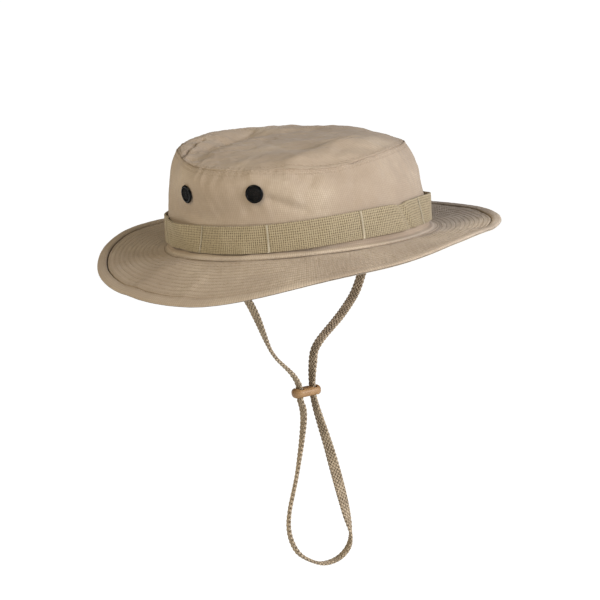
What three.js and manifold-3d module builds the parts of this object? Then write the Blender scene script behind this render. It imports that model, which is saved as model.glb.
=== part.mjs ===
// Bush hat of soft cotton cloth, shaped as it sits on a head: a crown of a side wall and an oval top,
// a wide brim stitched in rings, a webbing band sewn down in loops, four screened vents,
// and a flat braided chin cord that hangs in one loop through a slider.
// Millimetres, +Z up, the front towards -Y. The origin is the centre of the head opening,
// at the top face of the brim, where the crown is sewn on.
// Angles are degrees round the hat: 0 at the front, 90 at +X, 180 at the back.

import * as THREE from "three";
import { mergeVertices } from "three/addons/utils/BufferGeometryUtils.js";
import Module from "manifold-3d";

// Driving dimensions
const HEAD_LENGTH = 200; // inside the crown, front to back
const HEAD_WIDTH = 166; // inside the crown, side to side
const CLOTH = 1.5; // crown cloth with its turned seams
const WEBBING = 1.4; // thickness of the loop band
const GAP = 0.35; // left between pieces that touch
const RING_STEPS = 64; // facets round the hat

// The outside of the crown, ring by ring, from the edge of the flange on the brim to the middle of the top.
// clear is the ring's distance outside the head opening at the front and at the sides.
const CROWN_RINGS = [
  { ring: "flange edge", z: GAP + CLOTH, clearFront: 9, clearSide: 9 },
  { ring: "flange bend", z: 1.92, clearFront: 3.3, clearSide: 3.3 },
  { ring: "wall foot", z: 2.6, clearFront: 2, clearSide: 2 },
  { ring: "band bottom", z: 4.5, clearFront: 1.8, clearSide: 1.8 },
  { ring: "band top", z: 24.1, clearFront: -0.3, clearSide: 1.2 },
  { ring: "vent line", z: 45, clearFront: -5.5, clearSide: 3.4 },
  { ring: "shoulder", z: 58, clearFront: -10.5, clearSide: 1.3 },
  { ring: "top seam", z: 65, clearFront: -15, clearSide: -3.5 },
  { ring: "top edge", z: 68.5, clearFront: -22, clearSide: -10 },
  { ring: "top outer", z: 71.5, clearFront: -39, clearSide: -27 },
  { ring: "top inner", z: 72.5, clearFront: -69, clearSide: -55 },
  { ring: "top middle", z: 72.5, clearFront: -HEAD_LENGTH / 2, clearSide: -HEAD_WIDTH / 2 },
];

// How far the top seam rises or sags round the hat.
const SEAM_RISES = [
  { angle: -148, rise: 6.3 },
  { angle: -125, rise: 3.6 },
  { angle: -107, rise: -1 },
  { angle: -90, rise: -4 },
  { angle: -60, rise: -5.7 },
  { angle: -32, rise: -8.5 },
  { angle: -10, rise: -5.5 },
  { angle: 15, rise: -3 },
  { angle: 50, rise: -3.2 },
  { angle: 90, rise: -0.5 },
  { angle: 150, rise: 10 },
  { angle: 180, rise: 10.5 },
];
const RISE_FOOT = 40; // height below which the wall is level
const RISE_FADE = 0.8; // share of the way in to the middle of the top at which the rise is gone

// Folds of the slack top: a soft ridge or hollow along a line in plan, with its half width.
const TOP_FOLDS = [
  { fold: "hollow inside the near seam", from: [-64, 4], to: [-30, -38], width: 14, lift: -2.8 },
  { fold: "ridge over the front slope", from: [-60, -52], to: [8, -66], width: 9, lift: 3 },
  { fold: "hollow inside the back rim", from: [-62, 38], to: [20, 58], width: 11, lift: -4.2 },
  { fold: "low ridge beside it", from: [-48, 20], to: [6, 28], width: 9, lift: 1 },
  { fold: "swell by the far seam", from: [58, 52], to: [66, -10], width: 15, lift: 2.5 },
];

// Dents and bulges of the side wall, at an angle and a height.
const SIDE_FOLDS = [
  { fold: "dent behind the near vents", angle: -128, z: 52, spread: 12, tall: 18, push: -2.5 },
  { fold: "slope up to the near back corner", angle: -140, z: 65, spread: 22, tall: 13, push: -2.6 },
  { fold: "bulge over the near vents", angle: -92, z: 57, spread: 28, tall: 14, push: 2.4 },
  { fold: "dent by the front", angle: -20, z: 46, spread: 14, tall: 20, push: -1.8 },
  { fold: "dent at the front corner", angle: 24, z: 52, spread: 22, tall: 20, push: -1.2 },
  { fold: "dent at the far side", angle: 70, z: 48, spread: 16, tall: 18, push: -1.6 },
  { fold: "dent at the back", angle: 172, z: 46, spread: 16, tall: 20, push: -2 },
];

// The brim: how high its edge stands and how far it reaches out, round the hat.
const BRIM_SWEEP = [
  { angle: -155, edge: 3, reach: 55 },
  { angle: -130, edge: -10.5, reach: 57 },
  { angle: -105, edge: -20.3, reach: 57 },
  { angle: -80, edge: -24.2, reach: 55.5 },
  { angle: -45, edge: -11, reach: 55.5 },
  { angle: -22, edge: -5, reach: 56.5 },
  { angle: -5, edge: 1.2, reach: 56.5 },
  { angle: 8, edge: 2.6, reach: 55 },
  { angle: 22, edge: 1.5, reach: 54 },
  { angle: 50, edge: 3, reach: 54.5 },
  { angle: 80, edge: 4.4, reach: 56 },
  { angle: 110, edge: 7.2, reach: 56 },
  { angle: 140, edge: 8, reach: 56 },
  { angle: 180, edge: 9.6, reach: 56 },
];
const BRIM_CURVE = 1.35; // power of the fall from the crown to the edge

// The brim's wall from the head opening to its edge: two quilted layers, a groove and a thick turned hem.
// proud is how far the top face stands above the quilted face.
const BRIM_SECTIONS = [
  { share: 0, proud: 0, thick: 2.2 },
  { share: 0.17, proud: 0, thick: 2.2 },
  { share: 0.4, proud: 0, thick: 2.2 },
  { share: 0.64, proud: 0, thick: 2.2 },
  { share: 0.84, proud: 0, thick: 2.2 },
  { share: 0.87, proud: -0.35, thick: 1.5 },
  { share: 0.9, proud: 0.3, thick: 2.8 },
  { share: 0.96, proud: 0.4, thick: 3 },
  { share: 1, proud: -0.3, thick: 1.6 },
];

// The bars where the band is tacked to the crown: how high each sits,
// how far the loop after it stands off, and how far that loop's foot is lifted.
const BAND_TACKS = [
  { angle: -136, lift: 0.7, puffTop: 3.4, puffBottom: 1.6, footRise: 0.8 },
  { angle: -100, lift: -1.7, puffTop: 0.8, puffBottom: 1, footRise: 0 },
  { angle: -67, lift: -1.8, puffTop: 0.6, puffBottom: 1.8, footRise: 0 },
  { angle: -26, lift: 1.5, puffTop: 2.2, puffBottom: 2.2, footRise: 0 },
  { angle: 13, lift: 2.3, puffTop: 3.2, puffBottom: 1, footRise: 0.5 },
  { angle: 54, lift: -0.7, puffTop: 1.6, puffBottom: 1.4, footRise: 0 },
  { angle: 90, lift: 0.9, puffTop: 1, puffBottom: 1, footRise: 0 },
  { angle: 122, lift: 0.9, puffTop: 1.4, puffBottom: 1.2, footRise: 0 },
  { angle: 155, lift: 0.9, puffTop: 1.6, puffBottom: 1.4, footRise: 0 },
  { angle: 190, lift: 0.9, puffTop: 2, puffBottom: 1.8, footRise: 0 },
];

// Vents: a pair on each side of the head.
const VENT_SIDES = { right: -88, left: 88 }; // middle of each pair
const VENT_SPREAD = 19; // angle of each vent from the middle
const VENT_RADIUS = 6.6; // flange
const VENT_BORE = 4.6; // rim of the screen
const VENT_BARREL = 5; // outside of the part that goes through the cloth
const VENT_DOME = 1.1; // height of the flange above the cloth
const VENT_WASHER = 0.7; // thickness of the washer inside the cloth
const VENT_BOW = 1.1; // room for the bow of the cloth at the washer's rim
const VENT_SCREEN = 0.4; // how far each face of the screen lies inside the rim
const VENT_FACETS = 14;

// Slider: a pill with two slots for the cord, hanging level.
const SLIDER_LENGTH = 23;
const SLIDER_DEPTH = 13;
const SLIDER_HEIGHT = 7.6;
const SLIDER_ROUNDING = 2.4;
const SLIDER_CENTRE = new THREE.Vector3(-9.4, 0, -113.3);
const SLIDER_HEADING = -20;
const SLOT_OFFSET = 5.7;
const SLOT_CLEARANCE = 0.55; // round the cord

// Chin cord: a flat braid whose ends are sewn inside the crown at the sides.
const CORD_WIDTH = 8.5;
const CORD_THICK = 2.6;
const CORD_STEPS = 80;
// The middle of the cord and the heading of its broad face, from the right side of the head to the left.
const CORD_ROUTE = [
  { x: -80.6, y: 0, z: 13, face: 90 },
  { x: -80.6, y: 0, z: 4, face: 90 },
  { x: -80, y: 0, z: -6, face: 89 },
  { x: -76, y: 0, z: -17, face: 87 },
  { x: -68.5, y: 0, z: -27.5, face: 90 },
  { x: -61, y: 0, z: -37.5, face: 88 },
  { x: -55, y: 0, z: -49, face: 84 },
  { x: -41.5, y: 3, z: -74, face: 50 },
  { x: -34, y: 4, z: -83.5, face: 52 },
  { x: -18.5, y: 3, z: -99.5, face: 67 },
  { x: -14.8, y: 1.9, z: -107.8, face: 70 },
  { x: -14.8, y: 1.9, z: -118.8, face: 70 },
  { x: -13.5, y: 1.5, z: -125, face: 76 },
  { x: -14, y: 1.5, z: -134, face: 70 },
  { x: -23.5, y: 5, z: -172.5, face: 46 },
  { x: -32.5, y: 8.5, z: -200, face: 48 },
  { x: -34.5, y: 9, z: -211.5, face: 54 },
  { x: -33, y: 8.5, z: -222.5, face: 62 },
  { x: -28.5, y: 7, z: -232, face: 68 },
  { x: -20.5, y: 4, z: -239, face: 70 },
  { x: -11.5, y: 1, z: -243.5, face: 70 },
  { x: -3, y: -2, z: -244, face: 70 },
  { x: 5, y: -5, z: -241.5, face: 66 },
  { x: 11.5, y: -7.5, z: -235.5, face: 60 },
  { x: 14, y: -8.5, z: -227, face: 45 },
  { x: 12, y: -8, z: -209.5, face: -5 },
  { x: 4.5, y: -5, z: -162, face: -70 },
  { x: -4, y: -1.9, z: -118.8, face: -110 },
  { x: -4, y: -1.9, z: -107.8, face: -110 },
  { x: -1.5, y: -2.5, z: -93, face: -92 },
  { x: 1.5, y: -2.5, z: -85, face: -97 },
  { x: 7.5, y: -3, z: -79, face: -84 },
  { x: 30.5, y: -3.5, z: -66.5, face: -66 },
  { x: 44.5, y: -2, z: -59.5, face: -70 },
  { x: 58, y: 0, z: -51.5, face: -77 },
  { x: 66.5, y: 0, z: -41, face: -84 },
  { x: 75, y: 0, z: -27, face: -86 },
  { x: 79, y: 0, z: -14.5, face: -88 },
  { x: 80.6, y: 0, z: 4, face: -90 },
  { x: 80.6, y: 0, z: 13, face: -90 },
];

// Finishes
const khakiCloth = new THREE.MeshStandardMaterial({ color: 0xc2ae93, roughness: 0.92, metalness: 0 });
const khakiWebbing = new THREE.MeshStandardMaterial({ color: 0xa5946f, roughness: 0.85, metalness: 0 });
const blackEnamel = new THREE.MeshStandardMaterial({ color: 0x101012, roughness: 0.35, metalness: 0.3 });
const khakiBraid = new THREE.MeshStandardMaterial({ color: 0x8f8069, roughness: 0.9, metalness: 0 });
const tanSlider = new THREE.MeshStandardMaterial({ color: 0xb08d68, roughness: 0.5, metalness: 0 });

const wasm = await Module();
wasm.setup();

const radians = THREE.MathUtils.degToRad;

// Angle from b to a, turned into -180 to 180.
function turnBetween(a, b) {
  return THREE.MathUtils.euclideanModulo(a - b + 180, 360) - 180;
}

// A smooth closed curve of one column of a table whose rows go round the hat.
function roundTable(rows, column) {
  const count = rows.length;
  const row = (i) => rows[THREE.MathUtils.euclideanModulo(i, count)];
  const span = (i) => THREE.MathUtils.euclideanModulo(row(i + 1).angle - row(i).angle, 360);
  const slope = (i) => (row(i + 1)[column] - row(i - 1)[column]) / (span(i - 1) + span(i));
  return (angle) => {
    let i = 0;
    while (THREE.MathUtils.euclideanModulo(angle - row(i).angle, 360) >= span(i)) i += 1;
    const width = span(i);
    const t = THREE.MathUtils.euclideanModulo(angle - row(i).angle, 360) / width;
    const rise = t * t * (3 - 2 * t);
    const leave = t * (1 - t) * (1 - t) * width * slope(i);
    const arrive = t * t * (t - 1) * width * slope(i + 1);
    return row(i)[column] * (1 - rise) + row(i + 1)[column] * rise + leave + arrive;
  };
}

const seamRise = roundTable(SEAM_RISES, "rise");
const brimEdge = roundTable(BRIM_SWEEP, "edge");
const brimReach = roundTable(BRIM_SWEEP, "reach");
const bandLift = roundTable(BAND_TACKS, "lift");

// Point of an oval ring that clears the head opening by the given distances.
function ovalPoint(angle, clearFront, clearSide, z) {
  const a = radians(angle);
  const x = (HEAD_WIDTH / 2 + clearSide) * Math.sin(a);
  const y = -(HEAD_LENGTH / 2 + clearFront) * Math.cos(a);
  return new THREE.Vector3(x, y, z);
}

// Height of the brim's top face at a distance outside the head opening.
function brimHeight(angle, out) {
  const share = Math.max(0, out) / brimReach(angle);
  return brimEdge(angle) * share ** BRIM_CURVE;
}

// The crown's profile, along which the rings lie at equal steps.
const crownProfile = new THREE.CatmullRomCurve3(
  CROWN_RINGS.map((r) => new THREE.Vector3(r.clearSide, r.clearFront, r.z)),
  false,
  "centripetal",
);
const ringShare = (name) => CROWN_RINGS.findIndex((r) => r.ring === name) / (CROWN_RINGS.length - 1);
const SEAM_SHARE = ringShare("top seam");
const SEAM_HEIGHT = CROWN_RINGS.find((r) => r.ring === "top seam").z;
const BAND_TOP_HEIGHT = CROWN_RINGS.find((r) => r.ring === "band top").z;
const FLANGE_HEIGHT = CROWN_RINGS.find((r) => r.ring === "band bottom").z;

// Share of the seam's rise that a point of the profile takes.
function riseShare(share, height) {
  if (share <= SEAM_SHARE) return THREE.MathUtils.smoothstep(height, RISE_FOOT, SEAM_HEIGHT);
  const inward = (share - SEAM_SHARE) / (1 - SEAM_SHARE);
  return 1 - THREE.MathUtils.smoothstep(inward, 0, RISE_FADE);
}

// Lift of the slack top at a point in plan.
function topFoldLift(x, y) {
  const spot = new THREE.Vector3(x, y, 0);
  const nearest = new THREE.Vector3();
  let lift = 0;
  for (const fold of TOP_FOLDS) {
    const line = new THREE.Line3(new THREE.Vector3(...fold.from, 0), new THREE.Vector3(...fold.to, 0));
    const past = line.closestPointToPoint(spot, true, nearest).distanceTo(spot);
    lift += fold.lift * Math.exp(-((past / fold.width) ** 2));
  }
  return lift;
}

// Outward push of the side wall's dents and bulges.
function sideFoldPush(angle, z) {
  let push = 0;
  for (const fold of SIDE_FOLDS) {
    const across = turnBetween(angle, fold.angle) / fold.spread;
    const along = (z - fold.z) / fold.tall;
    push += fold.push * Math.exp(-(across ** 2) - along ** 2);
  }
  return push;
}

// A point of the crown's outside: share runs from 0 at the flange's edge to 1 at the middle of the top.
function crownAt(angle, share) {
  const p = crownProfile.getPoint(share);
  const onTop = THREE.MathUtils.smoothstep(share, SEAM_SHARE - 0.05, SEAM_SHARE + 0.12);
  const aboveBand = THREE.MathUtils.smoothstep(p.z, FLANGE_HEIGHT, BAND_TOP_HEIGHT);
  const push = sideFoldPush(angle, p.z) * (1 - onTop) * aboveBand;
  const point = ovalPoint(angle, p.y + push, p.x + push, p.z);
  const onFlange = 1 - THREE.MathUtils.smoothstep(p.z, GAP + CLOTH, FLANGE_HEIGHT);
  point.z += brimHeight(angle, p.x) * onFlange;
  point.z += seamRise(angle) * riseShare(share, p.z);
  point.z += topFoldLift(point.x, point.y) * onTop;
  return point;
}

// Outward normal of the crown, from points close by.
function crownNormal(angle, share) {
  const turn = 0.5;
  const step = 0.004;
  const round = crownAt(angle + turn, share).sub(crownAt(angle - turn, share));
  const up = crownAt(angle, Math.min(1, share + step)).sub(crownAt(angle, Math.max(0, share - step)));
  return round.cross(up).normalize();
}

// The crown's inside face, one cloth deep.
function crownInside(angle, share) {
  return crownAt(angle, share).addScaledVector(crownNormal(angle, share), -CLOTH);
}

// A closed body skinned over section outlines set round the hat. Each outline is a list of points;
// with poles, its first and last points are shared by all the outlines.
function bodyRound(outlineAt, poles = false) {
  const outlines = Array.from({ length: RING_STEPS }, (_, i) => outlineAt((360 * i) / RING_STEPS));
  const count = outlines[0].length;
  const index = [];
  for (let i = 0; i < RING_STEPS; i += 1) {
    const next = (i + 1) % RING_STEPS;
    for (let k = 0; k < (poles ? count - 1 : count); k += 1) {
      const after = (k + 1) % count;
      const a = i * count + k;
      const b = next * count + k;
      const c = next * count + after;
      const d = i * count + after;
      if (!(poles && k === 0)) index.push(a, b, c);
      if (!(poles && after === count - 1)) index.push(a, c, d);
    }
  }
  const isPole = (k) => poles && (k === 0 || k === count - 1);
  const points = outlines.flatMap((outline) => outline.map((p, k) => (isPole(k) ? outlines[0][k] : p)));
  const loose = new THREE.BufferGeometry().setFromPoints(points);
  loose.setIndex(index);
  return mergeVertices(loose);
}

// A solid for cutting, from a closed geometry placed by a matrix.
function solidOf(geometry, matrix = new THREE.Matrix4()) {
  const bare = geometry.clone().applyMatrix4(matrix);
  bare.deleteAttribute("normal");
  bare.deleteAttribute("uv");
  const merged = mergeVertices(bare);
  return new wasm.Manifold(
    new wasm.Mesh({
      numProp: 3,
      vertProperties: merged.getAttribute("position").array,
      triVerts: new Uint32Array(merged.index.array),
    }),
  );
}

// A geometry from a cut solid.
function geometryOf(solid) {
  const mesh = solid.getMesh();
  const geometry = new THREE.BufferGeometry();
  geometry.setAttribute("position", new THREE.BufferAttribute(mesh.vertProperties, mesh.numProp));
  geometry.setIndex(new THREE.BufferAttribute(mesh.triVerts, 1));
  return geometry;
}

// Evenly spaced numbers from start to end, both included.
function spread(start, end, count) {
  return Array.from({ length: count }, (_, i) => start + ((end - start) * i) / (count - 1));
}

const hat = new THREE.Group();

function addPiece(name, geometry, material, place = new THREE.Matrix4()) {
  geometry.computeVertexNormals();
  const mesh = new THREE.Mesh(geometry, material);
  mesh.name = name;
  place.decompose(mesh.position, mesh.quaternion, mesh.scale);
  hat.add(mesh);
}

// Where a vent sits: its axis, +Y of the lathe, along the crown's normal.
function ventPlace(angle) {
  const share = ringShare("vent line");
  const normal = crownNormal(angle, share);
  const turn = new THREE.Quaternion().setFromUnitVectors(new THREE.Vector3(0, 1, 0), normal);
  return new THREE.Matrix4().compose(crownAt(angle, share), turn, new THREE.Vector3(1, 1, 1));
}
const vents = Object.entries(VENT_SIDES).flatMap(([side, middle]) => {
  const forward = Math.sign(middle) * -VENT_SPREAD;
  return [
    { name: `vent_${side}_front`, place: ventPlace(middle + forward) },
    { name: `vent_${side}_rear`, place: ventPlace(middle - forward) },
  ];
});

// Half of the slit at the top seam, as a share of the profile.
const SEAM_SLIT = (GAP / 2 / crownProfile.getLength()) * 1.15;

// Crown side: one wall from the flange on the brim to the top seam, holed for the vents.
function crownSide() {
  const shares = [
    ...spread(0, ringShare("band bottom"), 4),
    ...spread(ringShare("band bottom"), ringShare("band top"), 3).slice(1),
    ...spread(ringShare("band top"), SEAM_SHARE - SEAM_SLIT, 7).slice(1),
  ];
  const wall = bodyRound((angle) => [
    ...shares.map((s) => crownAt(angle, s)),
    ...shares.toReversed().map((s) => crownInside(angle, s)),
  ]);
  const drillLength = 8 * CLOTH;
  const drill = new THREE.CylinderGeometry(VENT_BARREL + GAP, VENT_BARREL + GAP, drillLength, VENT_FACETS);
  return geometryOf(vents.reduce((left, vent) => left.subtract(solidOf(drill, vent.place)), solidOf(wall)));
}

// Crown top: the slack oval panel inside the seam.
function crownTop() {
  const shares = spread(SEAM_SHARE + SEAM_SLIT, 1, 9);
  return bodyRound(
    (angle) => [
      ...shares.toReversed().map((s) => crownInside(angle, s)),
      ...shares.map((s) => crownAt(angle, s)),
    ],
    true,
  );
}

// Brim: a quilted ring that starts at the head opening and ends in a thick hem.
function brim() {
  const face = (angle, section, depth) => {
    const out = section.share * brimReach(angle);
    return ovalPoint(angle, out, out, brimHeight(angle, out) - depth);
  };
  return bodyRound((angle) => [
    ...BRIM_SECTIONS.toReversed().map((s) => face(angle, s, -s.proud)),
    ...BRIM_SECTIONS.map((s) => face(angle, s, s.thick - s.proud)),
  ]);
}

// How far the band stands off the crown: nothing at a tack, most in the middle of a loop.
function bandPuff(angle, column) {
  const count = BAND_TACKS.length;
  for (let i = 0; i < count; i += 1) {
    const tack = BAND_TACKS[i];
    const next = BAND_TACKS[(i + 1) % count];
    const loop = THREE.MathUtils.euclideanModulo(next.angle - tack.angle, 360);
    const past = THREE.MathUtils.euclideanModulo(angle - tack.angle, 360);
    if (past <= loop) return tack[column] * Math.sin((Math.PI * past) / loop) ** 1.5;
  }
  return 0;
}

// Loop band: webbing round the foot of the crown.
function loopBand() {
  const bottom = ringShare("band bottom");
  const top = ringShare("band top");
  const face = (angle, up, depth) => {
    const puff = THREE.MathUtils.lerp(bandPuff(angle, "puffBottom"), bandPuff(angle, "puffTop"), up);
    const foot = crownAt(angle, THREE.MathUtils.lerp(bottom, top, up));
    const outward = new THREE.Vector3(foot.x, foot.y, 0).normalize();
    foot.z += bandLift(angle) + bandPuff(angle, "footRise") * (1 - up);
    return foot.addScaledVector(outward, GAP + puff + depth);
  };
  const levels = spread(0, 1, 3);
  return bodyRound((angle) => [
    ...levels.map((up) => face(angle, up, WEBBING)),
    ...levels.toReversed().map((up) => face(angle, up, 0)),
  ]);
}

// Vent: a domed eyelet with a screen across it and a washer inside the cloth, turned in one piece.
function vent() {
  const seat = GAP;
  const crest = seat + VENT_DOME;
  const washerTop = -CLOTH - VENT_BOW;
  const washerFoot = washerTop - VENT_WASHER;
  const lip = 0.5;
  const profile = [
    [0, washerFoot + VENT_SCREEN],
    [VENT_BORE, washerFoot + VENT_SCREEN],
    [VENT_BORE, washerFoot],
    [VENT_RADIUS - lip, washerFoot],
    [VENT_RADIUS - lip, washerTop],
    [VENT_BARREL, washerTop],
    [VENT_BARREL, seat],
    [VENT_RADIUS, seat],
    [VENT_RADIUS - lip, crest - VENT_DOME / 4],
    [VENT_BORE + lip, crest],
    [VENT_BORE, crest - VENT_SCREEN],
    [0, crest - VENT_SCREEN],
  ];
  return new THREE.LatheGeometry(profile.map(([r, y]) => new THREE.Vector2(r, y)), VENT_FACETS);
}

// Slider: a rounded pill, its slots across its length.
function slider() {
  const bevel = SLIDER_ROUNDING;
  const straight = (SLIDER_LENGTH - SLIDER_DEPTH) / 2;
  const outline = new THREE.Shape();
  outline.absarc(straight, 0, SLIDER_DEPTH / 2 - bevel, -Math.PI / 2, Math.PI / 2);
  outline.absarc(-straight, 0, SLIDER_DEPTH / 2 - bevel, Math.PI / 2, (3 * Math.PI) / 2);
  const body = new THREE.ExtrudeGeometry(outline, {
    depth: SLIDER_HEIGHT - 2 * bevel,
    bevelSize: bevel,
    bevelThickness: bevel,
    bevelSegments: 3,
    curveSegments: 7,
  });
  body.translate(0, 0, bevel - SLIDER_HEIGHT / 2);
  const slack = 2 * SLOT_CLEARANCE;
  const cutter = new THREE.BoxGeometry(CORD_THICK + slack, CORD_WIDTH + slack, 2 * SLIDER_HEIGHT);
  const slot = (side) => solidOf(cutter, new THREE.Matrix4().makeTranslation(side * SLOT_OFFSET, 0, 0));
  return geometryOf(solidOf(body).subtract(slot(-1)).subtract(slot(1)));
}
function sliderPlace() {
  const turn = new THREE.Quaternion().setFromAxisAngle(new THREE.Vector3(0, 0, 1), radians(SLIDER_HEADING));
  return new THREE.Matrix4().compose(SLIDER_CENTRE, turn, new THREE.Vector3(1, 1, 1));
}

// The cord's middle line, whose broad face is turned as the route says.
class FlatCordPath extends THREE.CatmullRomCurve3 {
  constructor(route) {
    super(route.map((p) => new THREE.Vector3(p.x, p.y, p.z)), false, "centripetal");
    this.faces = route.map((p) => radians(p.face));
  }

  computeFrenetFrames(steps) {
    const frames = { tangents: [], normals: [], binormals: [] };
    for (let i = 0; i <= steps; i += 1) {
      const t = this.getUtoTmapping(i / steps) * (this.faces.length - 1);
      const row = Math.min(Math.floor(t), this.faces.length - 2);
      const face = THREE.MathUtils.lerp(this.faces[row], this.faces[row + 1], t - row);
      const tangent = this.getTangentAt(i / steps);
      const broad = new THREE.Vector3(Math.cos(face), Math.sin(face), 0);
      broad.addScaledVector(tangent, -broad.dot(tangent)).normalize();
      frames.tangents.push(tangent);
      frames.normals.push(broad);
      frames.binormals.push(new THREE.Vector3().crossVectors(tangent, broad));
    }
    return frames;
  }
}

// Chin cord: an eight-sided flat section along its route.
function chinCord() {
  const half = CORD_WIDTH / 2;
  const deep = CORD_THICK / 2;
  const corners = [
    [half, deep * 0.4],
    [half * 0.8, deep],
    [-half * 0.8, deep],
    [-half, deep * 0.4],
    [-half, -deep * 0.4],
    [-half * 0.8, -deep],
    [half * 0.8, -deep],
    [half, -deep * 0.4],
  ];
  const section = new THREE.Shape(corners.map(([x, y]) => new THREE.Vector2(x, y)));
  return new THREE.ExtrudeGeometry(section, { steps: CORD_STEPS, extrudePath: new FlatCordPath(CORD_ROUTE) });
}

addPiece("brim", brim(), khakiCloth);
addPiece("crown_side", crownSide(), khakiCloth);
addPiece("crown_top", crownTop(), khakiCloth);
addPiece("loop_band", loopBand(), khakiWebbing);
for (const { name, place } of vents) addPiece(name, vent(), blackEnamel, place);
addPiece("chin_cord", chinCord(), khakiBraid);
addPiece("cord_slider", slider(), tanSlider, sliderPlace());

export default hat;
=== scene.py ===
import math

import bpy
import numpy as np
from mathutils import Matrix, Vector


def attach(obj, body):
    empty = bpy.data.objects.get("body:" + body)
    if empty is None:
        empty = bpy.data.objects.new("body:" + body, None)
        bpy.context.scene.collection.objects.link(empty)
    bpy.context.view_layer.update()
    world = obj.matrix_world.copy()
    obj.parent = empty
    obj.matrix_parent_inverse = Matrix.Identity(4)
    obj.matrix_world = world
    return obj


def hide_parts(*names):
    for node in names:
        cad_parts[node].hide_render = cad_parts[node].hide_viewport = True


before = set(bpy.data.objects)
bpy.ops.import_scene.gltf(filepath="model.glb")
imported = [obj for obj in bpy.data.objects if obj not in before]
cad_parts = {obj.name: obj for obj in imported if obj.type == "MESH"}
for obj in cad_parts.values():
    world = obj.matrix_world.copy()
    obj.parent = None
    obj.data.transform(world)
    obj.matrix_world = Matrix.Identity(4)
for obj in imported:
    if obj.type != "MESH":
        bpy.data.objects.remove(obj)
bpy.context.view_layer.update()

# Camera. It stands before the wearer's right side, a little above the brim, at the photograph's angle.
# It is rolled by a few degrees, so the hat tilts in the picture while the model stays upright.
MM = 0.001
VIEW_TURN = math.radians(-49)
VIEW_RISE = math.radians(9)
VIEW_ROLL = math.radians(6)
VIEW_DISTANCE = 1900 * MM
VIEW_WIDTH = 438 * MM  # width of the picture at the hat
AIM_RIGHT = -3.72 * MM
AIM_UP = -45.85 * MM

view_right = Vector((math.cos(VIEW_TURN), math.sin(VIEW_TURN), 0))
view_back = Vector((math.sin(VIEW_TURN), -math.cos(VIEW_TURN), 0)) * math.cos(VIEW_RISE)
view_back.z = math.sin(VIEW_RISE)
view_up = view_back.cross(view_right)
camera_x = view_right * math.cos(VIEW_ROLL) - view_up * math.sin(VIEW_ROLL)
camera_y = view_right * math.sin(VIEW_ROLL) + view_up * math.cos(VIEW_ROLL)
camera_place = Matrix((camera_x, camera_y, view_back)).transposed().to_4x4()
camera_place.translation = view_right * AIM_RIGHT + view_up * AIM_UP + view_back * VIEW_DISTANCE

bpy.ops.object.select_all(action="DESELECT")
bpy.ops.object.camera_add()
camera = bpy.context.object
camera.name = "photo_camera"
camera.matrix_world = camera_place
camera.data.lens = camera.data.sensor_width * VIEW_DISTANCE / VIEW_WIDTH
bpy.context.scene.camera = camera

# Chin cord. A flat khaki braid of cotton strands, woven as a tube and pressed flat. It is drawn with
# twelve strands, fewer than the real one has, so that its diamonds show.
# Both ends are sewn inside the crown at the sides, and the rest hangs in one twisted loop.
CORD_STEPS = 1140
STRANDS_EACH_WAY = 6
STRAND_TURN = 20 * MM  # length of cord in which a strand goes once round
STRAND_HALF_WIDTH = 0.86 * MM
STRAND_HALF_THICK = 0.38 * MM
STRAND_LIFT = 0.34 * MM  # how far a strand rises over the ones that it crosses
STRAND_SIDES = 6
WALL_HALF_WIDTH = 3.5 * MM  # middle of the braid's wall
WALL_HALF_THICK = 0.6 * MM
WALL_POINTS = 33  # on each rounded edge of the wall
ROUTE_SAMPLES = 8000
# Tone of a strand: its own part, the part with painted light where it rides over and painted shade where it
# dips under, and how much painted shade darkens its edges.
OWN_TONE = 0.3
OVER_UNDER_SHADE = 0.7
EDGE_SHADE_DEPTH = 0.5
# Middle of the cord in millimetres and heading of its broad face, from the right side to the left.
CORD_ROUTE = (
    (-80.6, 0, 13, 90),
    (-80.6, 0, 4, 90),
    (-80, 0, -6, 89),
    (-76, 0, -17, 87),
    (-68.5, 0, -27.5, 90),
    (-61, 0, -37.5, 88),
    (-55, 0, -49, 84),
    (-41.5, 3, -74, 50),
    (-34, 4, -83.5, 52),
    (-18.5, 3, -99.5, 67),
    (-14.8, 1.9, -107.8, 70),
    (-14.8, 1.9, -118.8, 70),
    (-13.5, 1.5, -125, 76),
    (-14, 1.5, -134, 70),
    (-23.5, 5, -172.5, 46),
    (-32.5, 8.5, -200, 48),
    (-34.5, 9, -211.5, 54),
    (-33, 8.5, -222.5, 62),
    (-28.5, 7, -232, 68),
    (-20.5, 4, -239, 70),
    (-11.5, 1, -243.5, 70),
    (-3, -2, -244, 70),
    (5, -5, -241.5, 66),
    (11.5, -7.5, -235.5, 60),
    (14, -8.5, -227, 45),
    (12, -8, -209.5, -5),
    (4.5, -5, -162, -70),
    (-4, -1.9, -118.8, -110),
    (-4, -1.9, -107.8, -110),
    (-1.5, -2.5, -93, -92),
    (1.5, -2.5, -85, -97),
    (7.5, -3, -79, -84),
    (30.5, -3.5, -66.5, -66),
    (44.5, -2, -59.5, -70),
    (58, 0, -51.5, -77),
    (66.5, 0, -41, -84),
    (75, 0, -27, -86),
    (79, 0, -14.5, -88),
    (80.6, 0, 4, -90),
    (80.6, 0, 13, -90),
)


def unit(vectors):
    return vectors / np.linalg.norm(vectors, axis=-1, keepdims=True)


def run_of(points):
    """Length along a line of points, from its first point."""
    return np.concatenate([[0], np.cumsum(np.linalg.norm(np.diff(points, axis=0), axis=1))])


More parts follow.
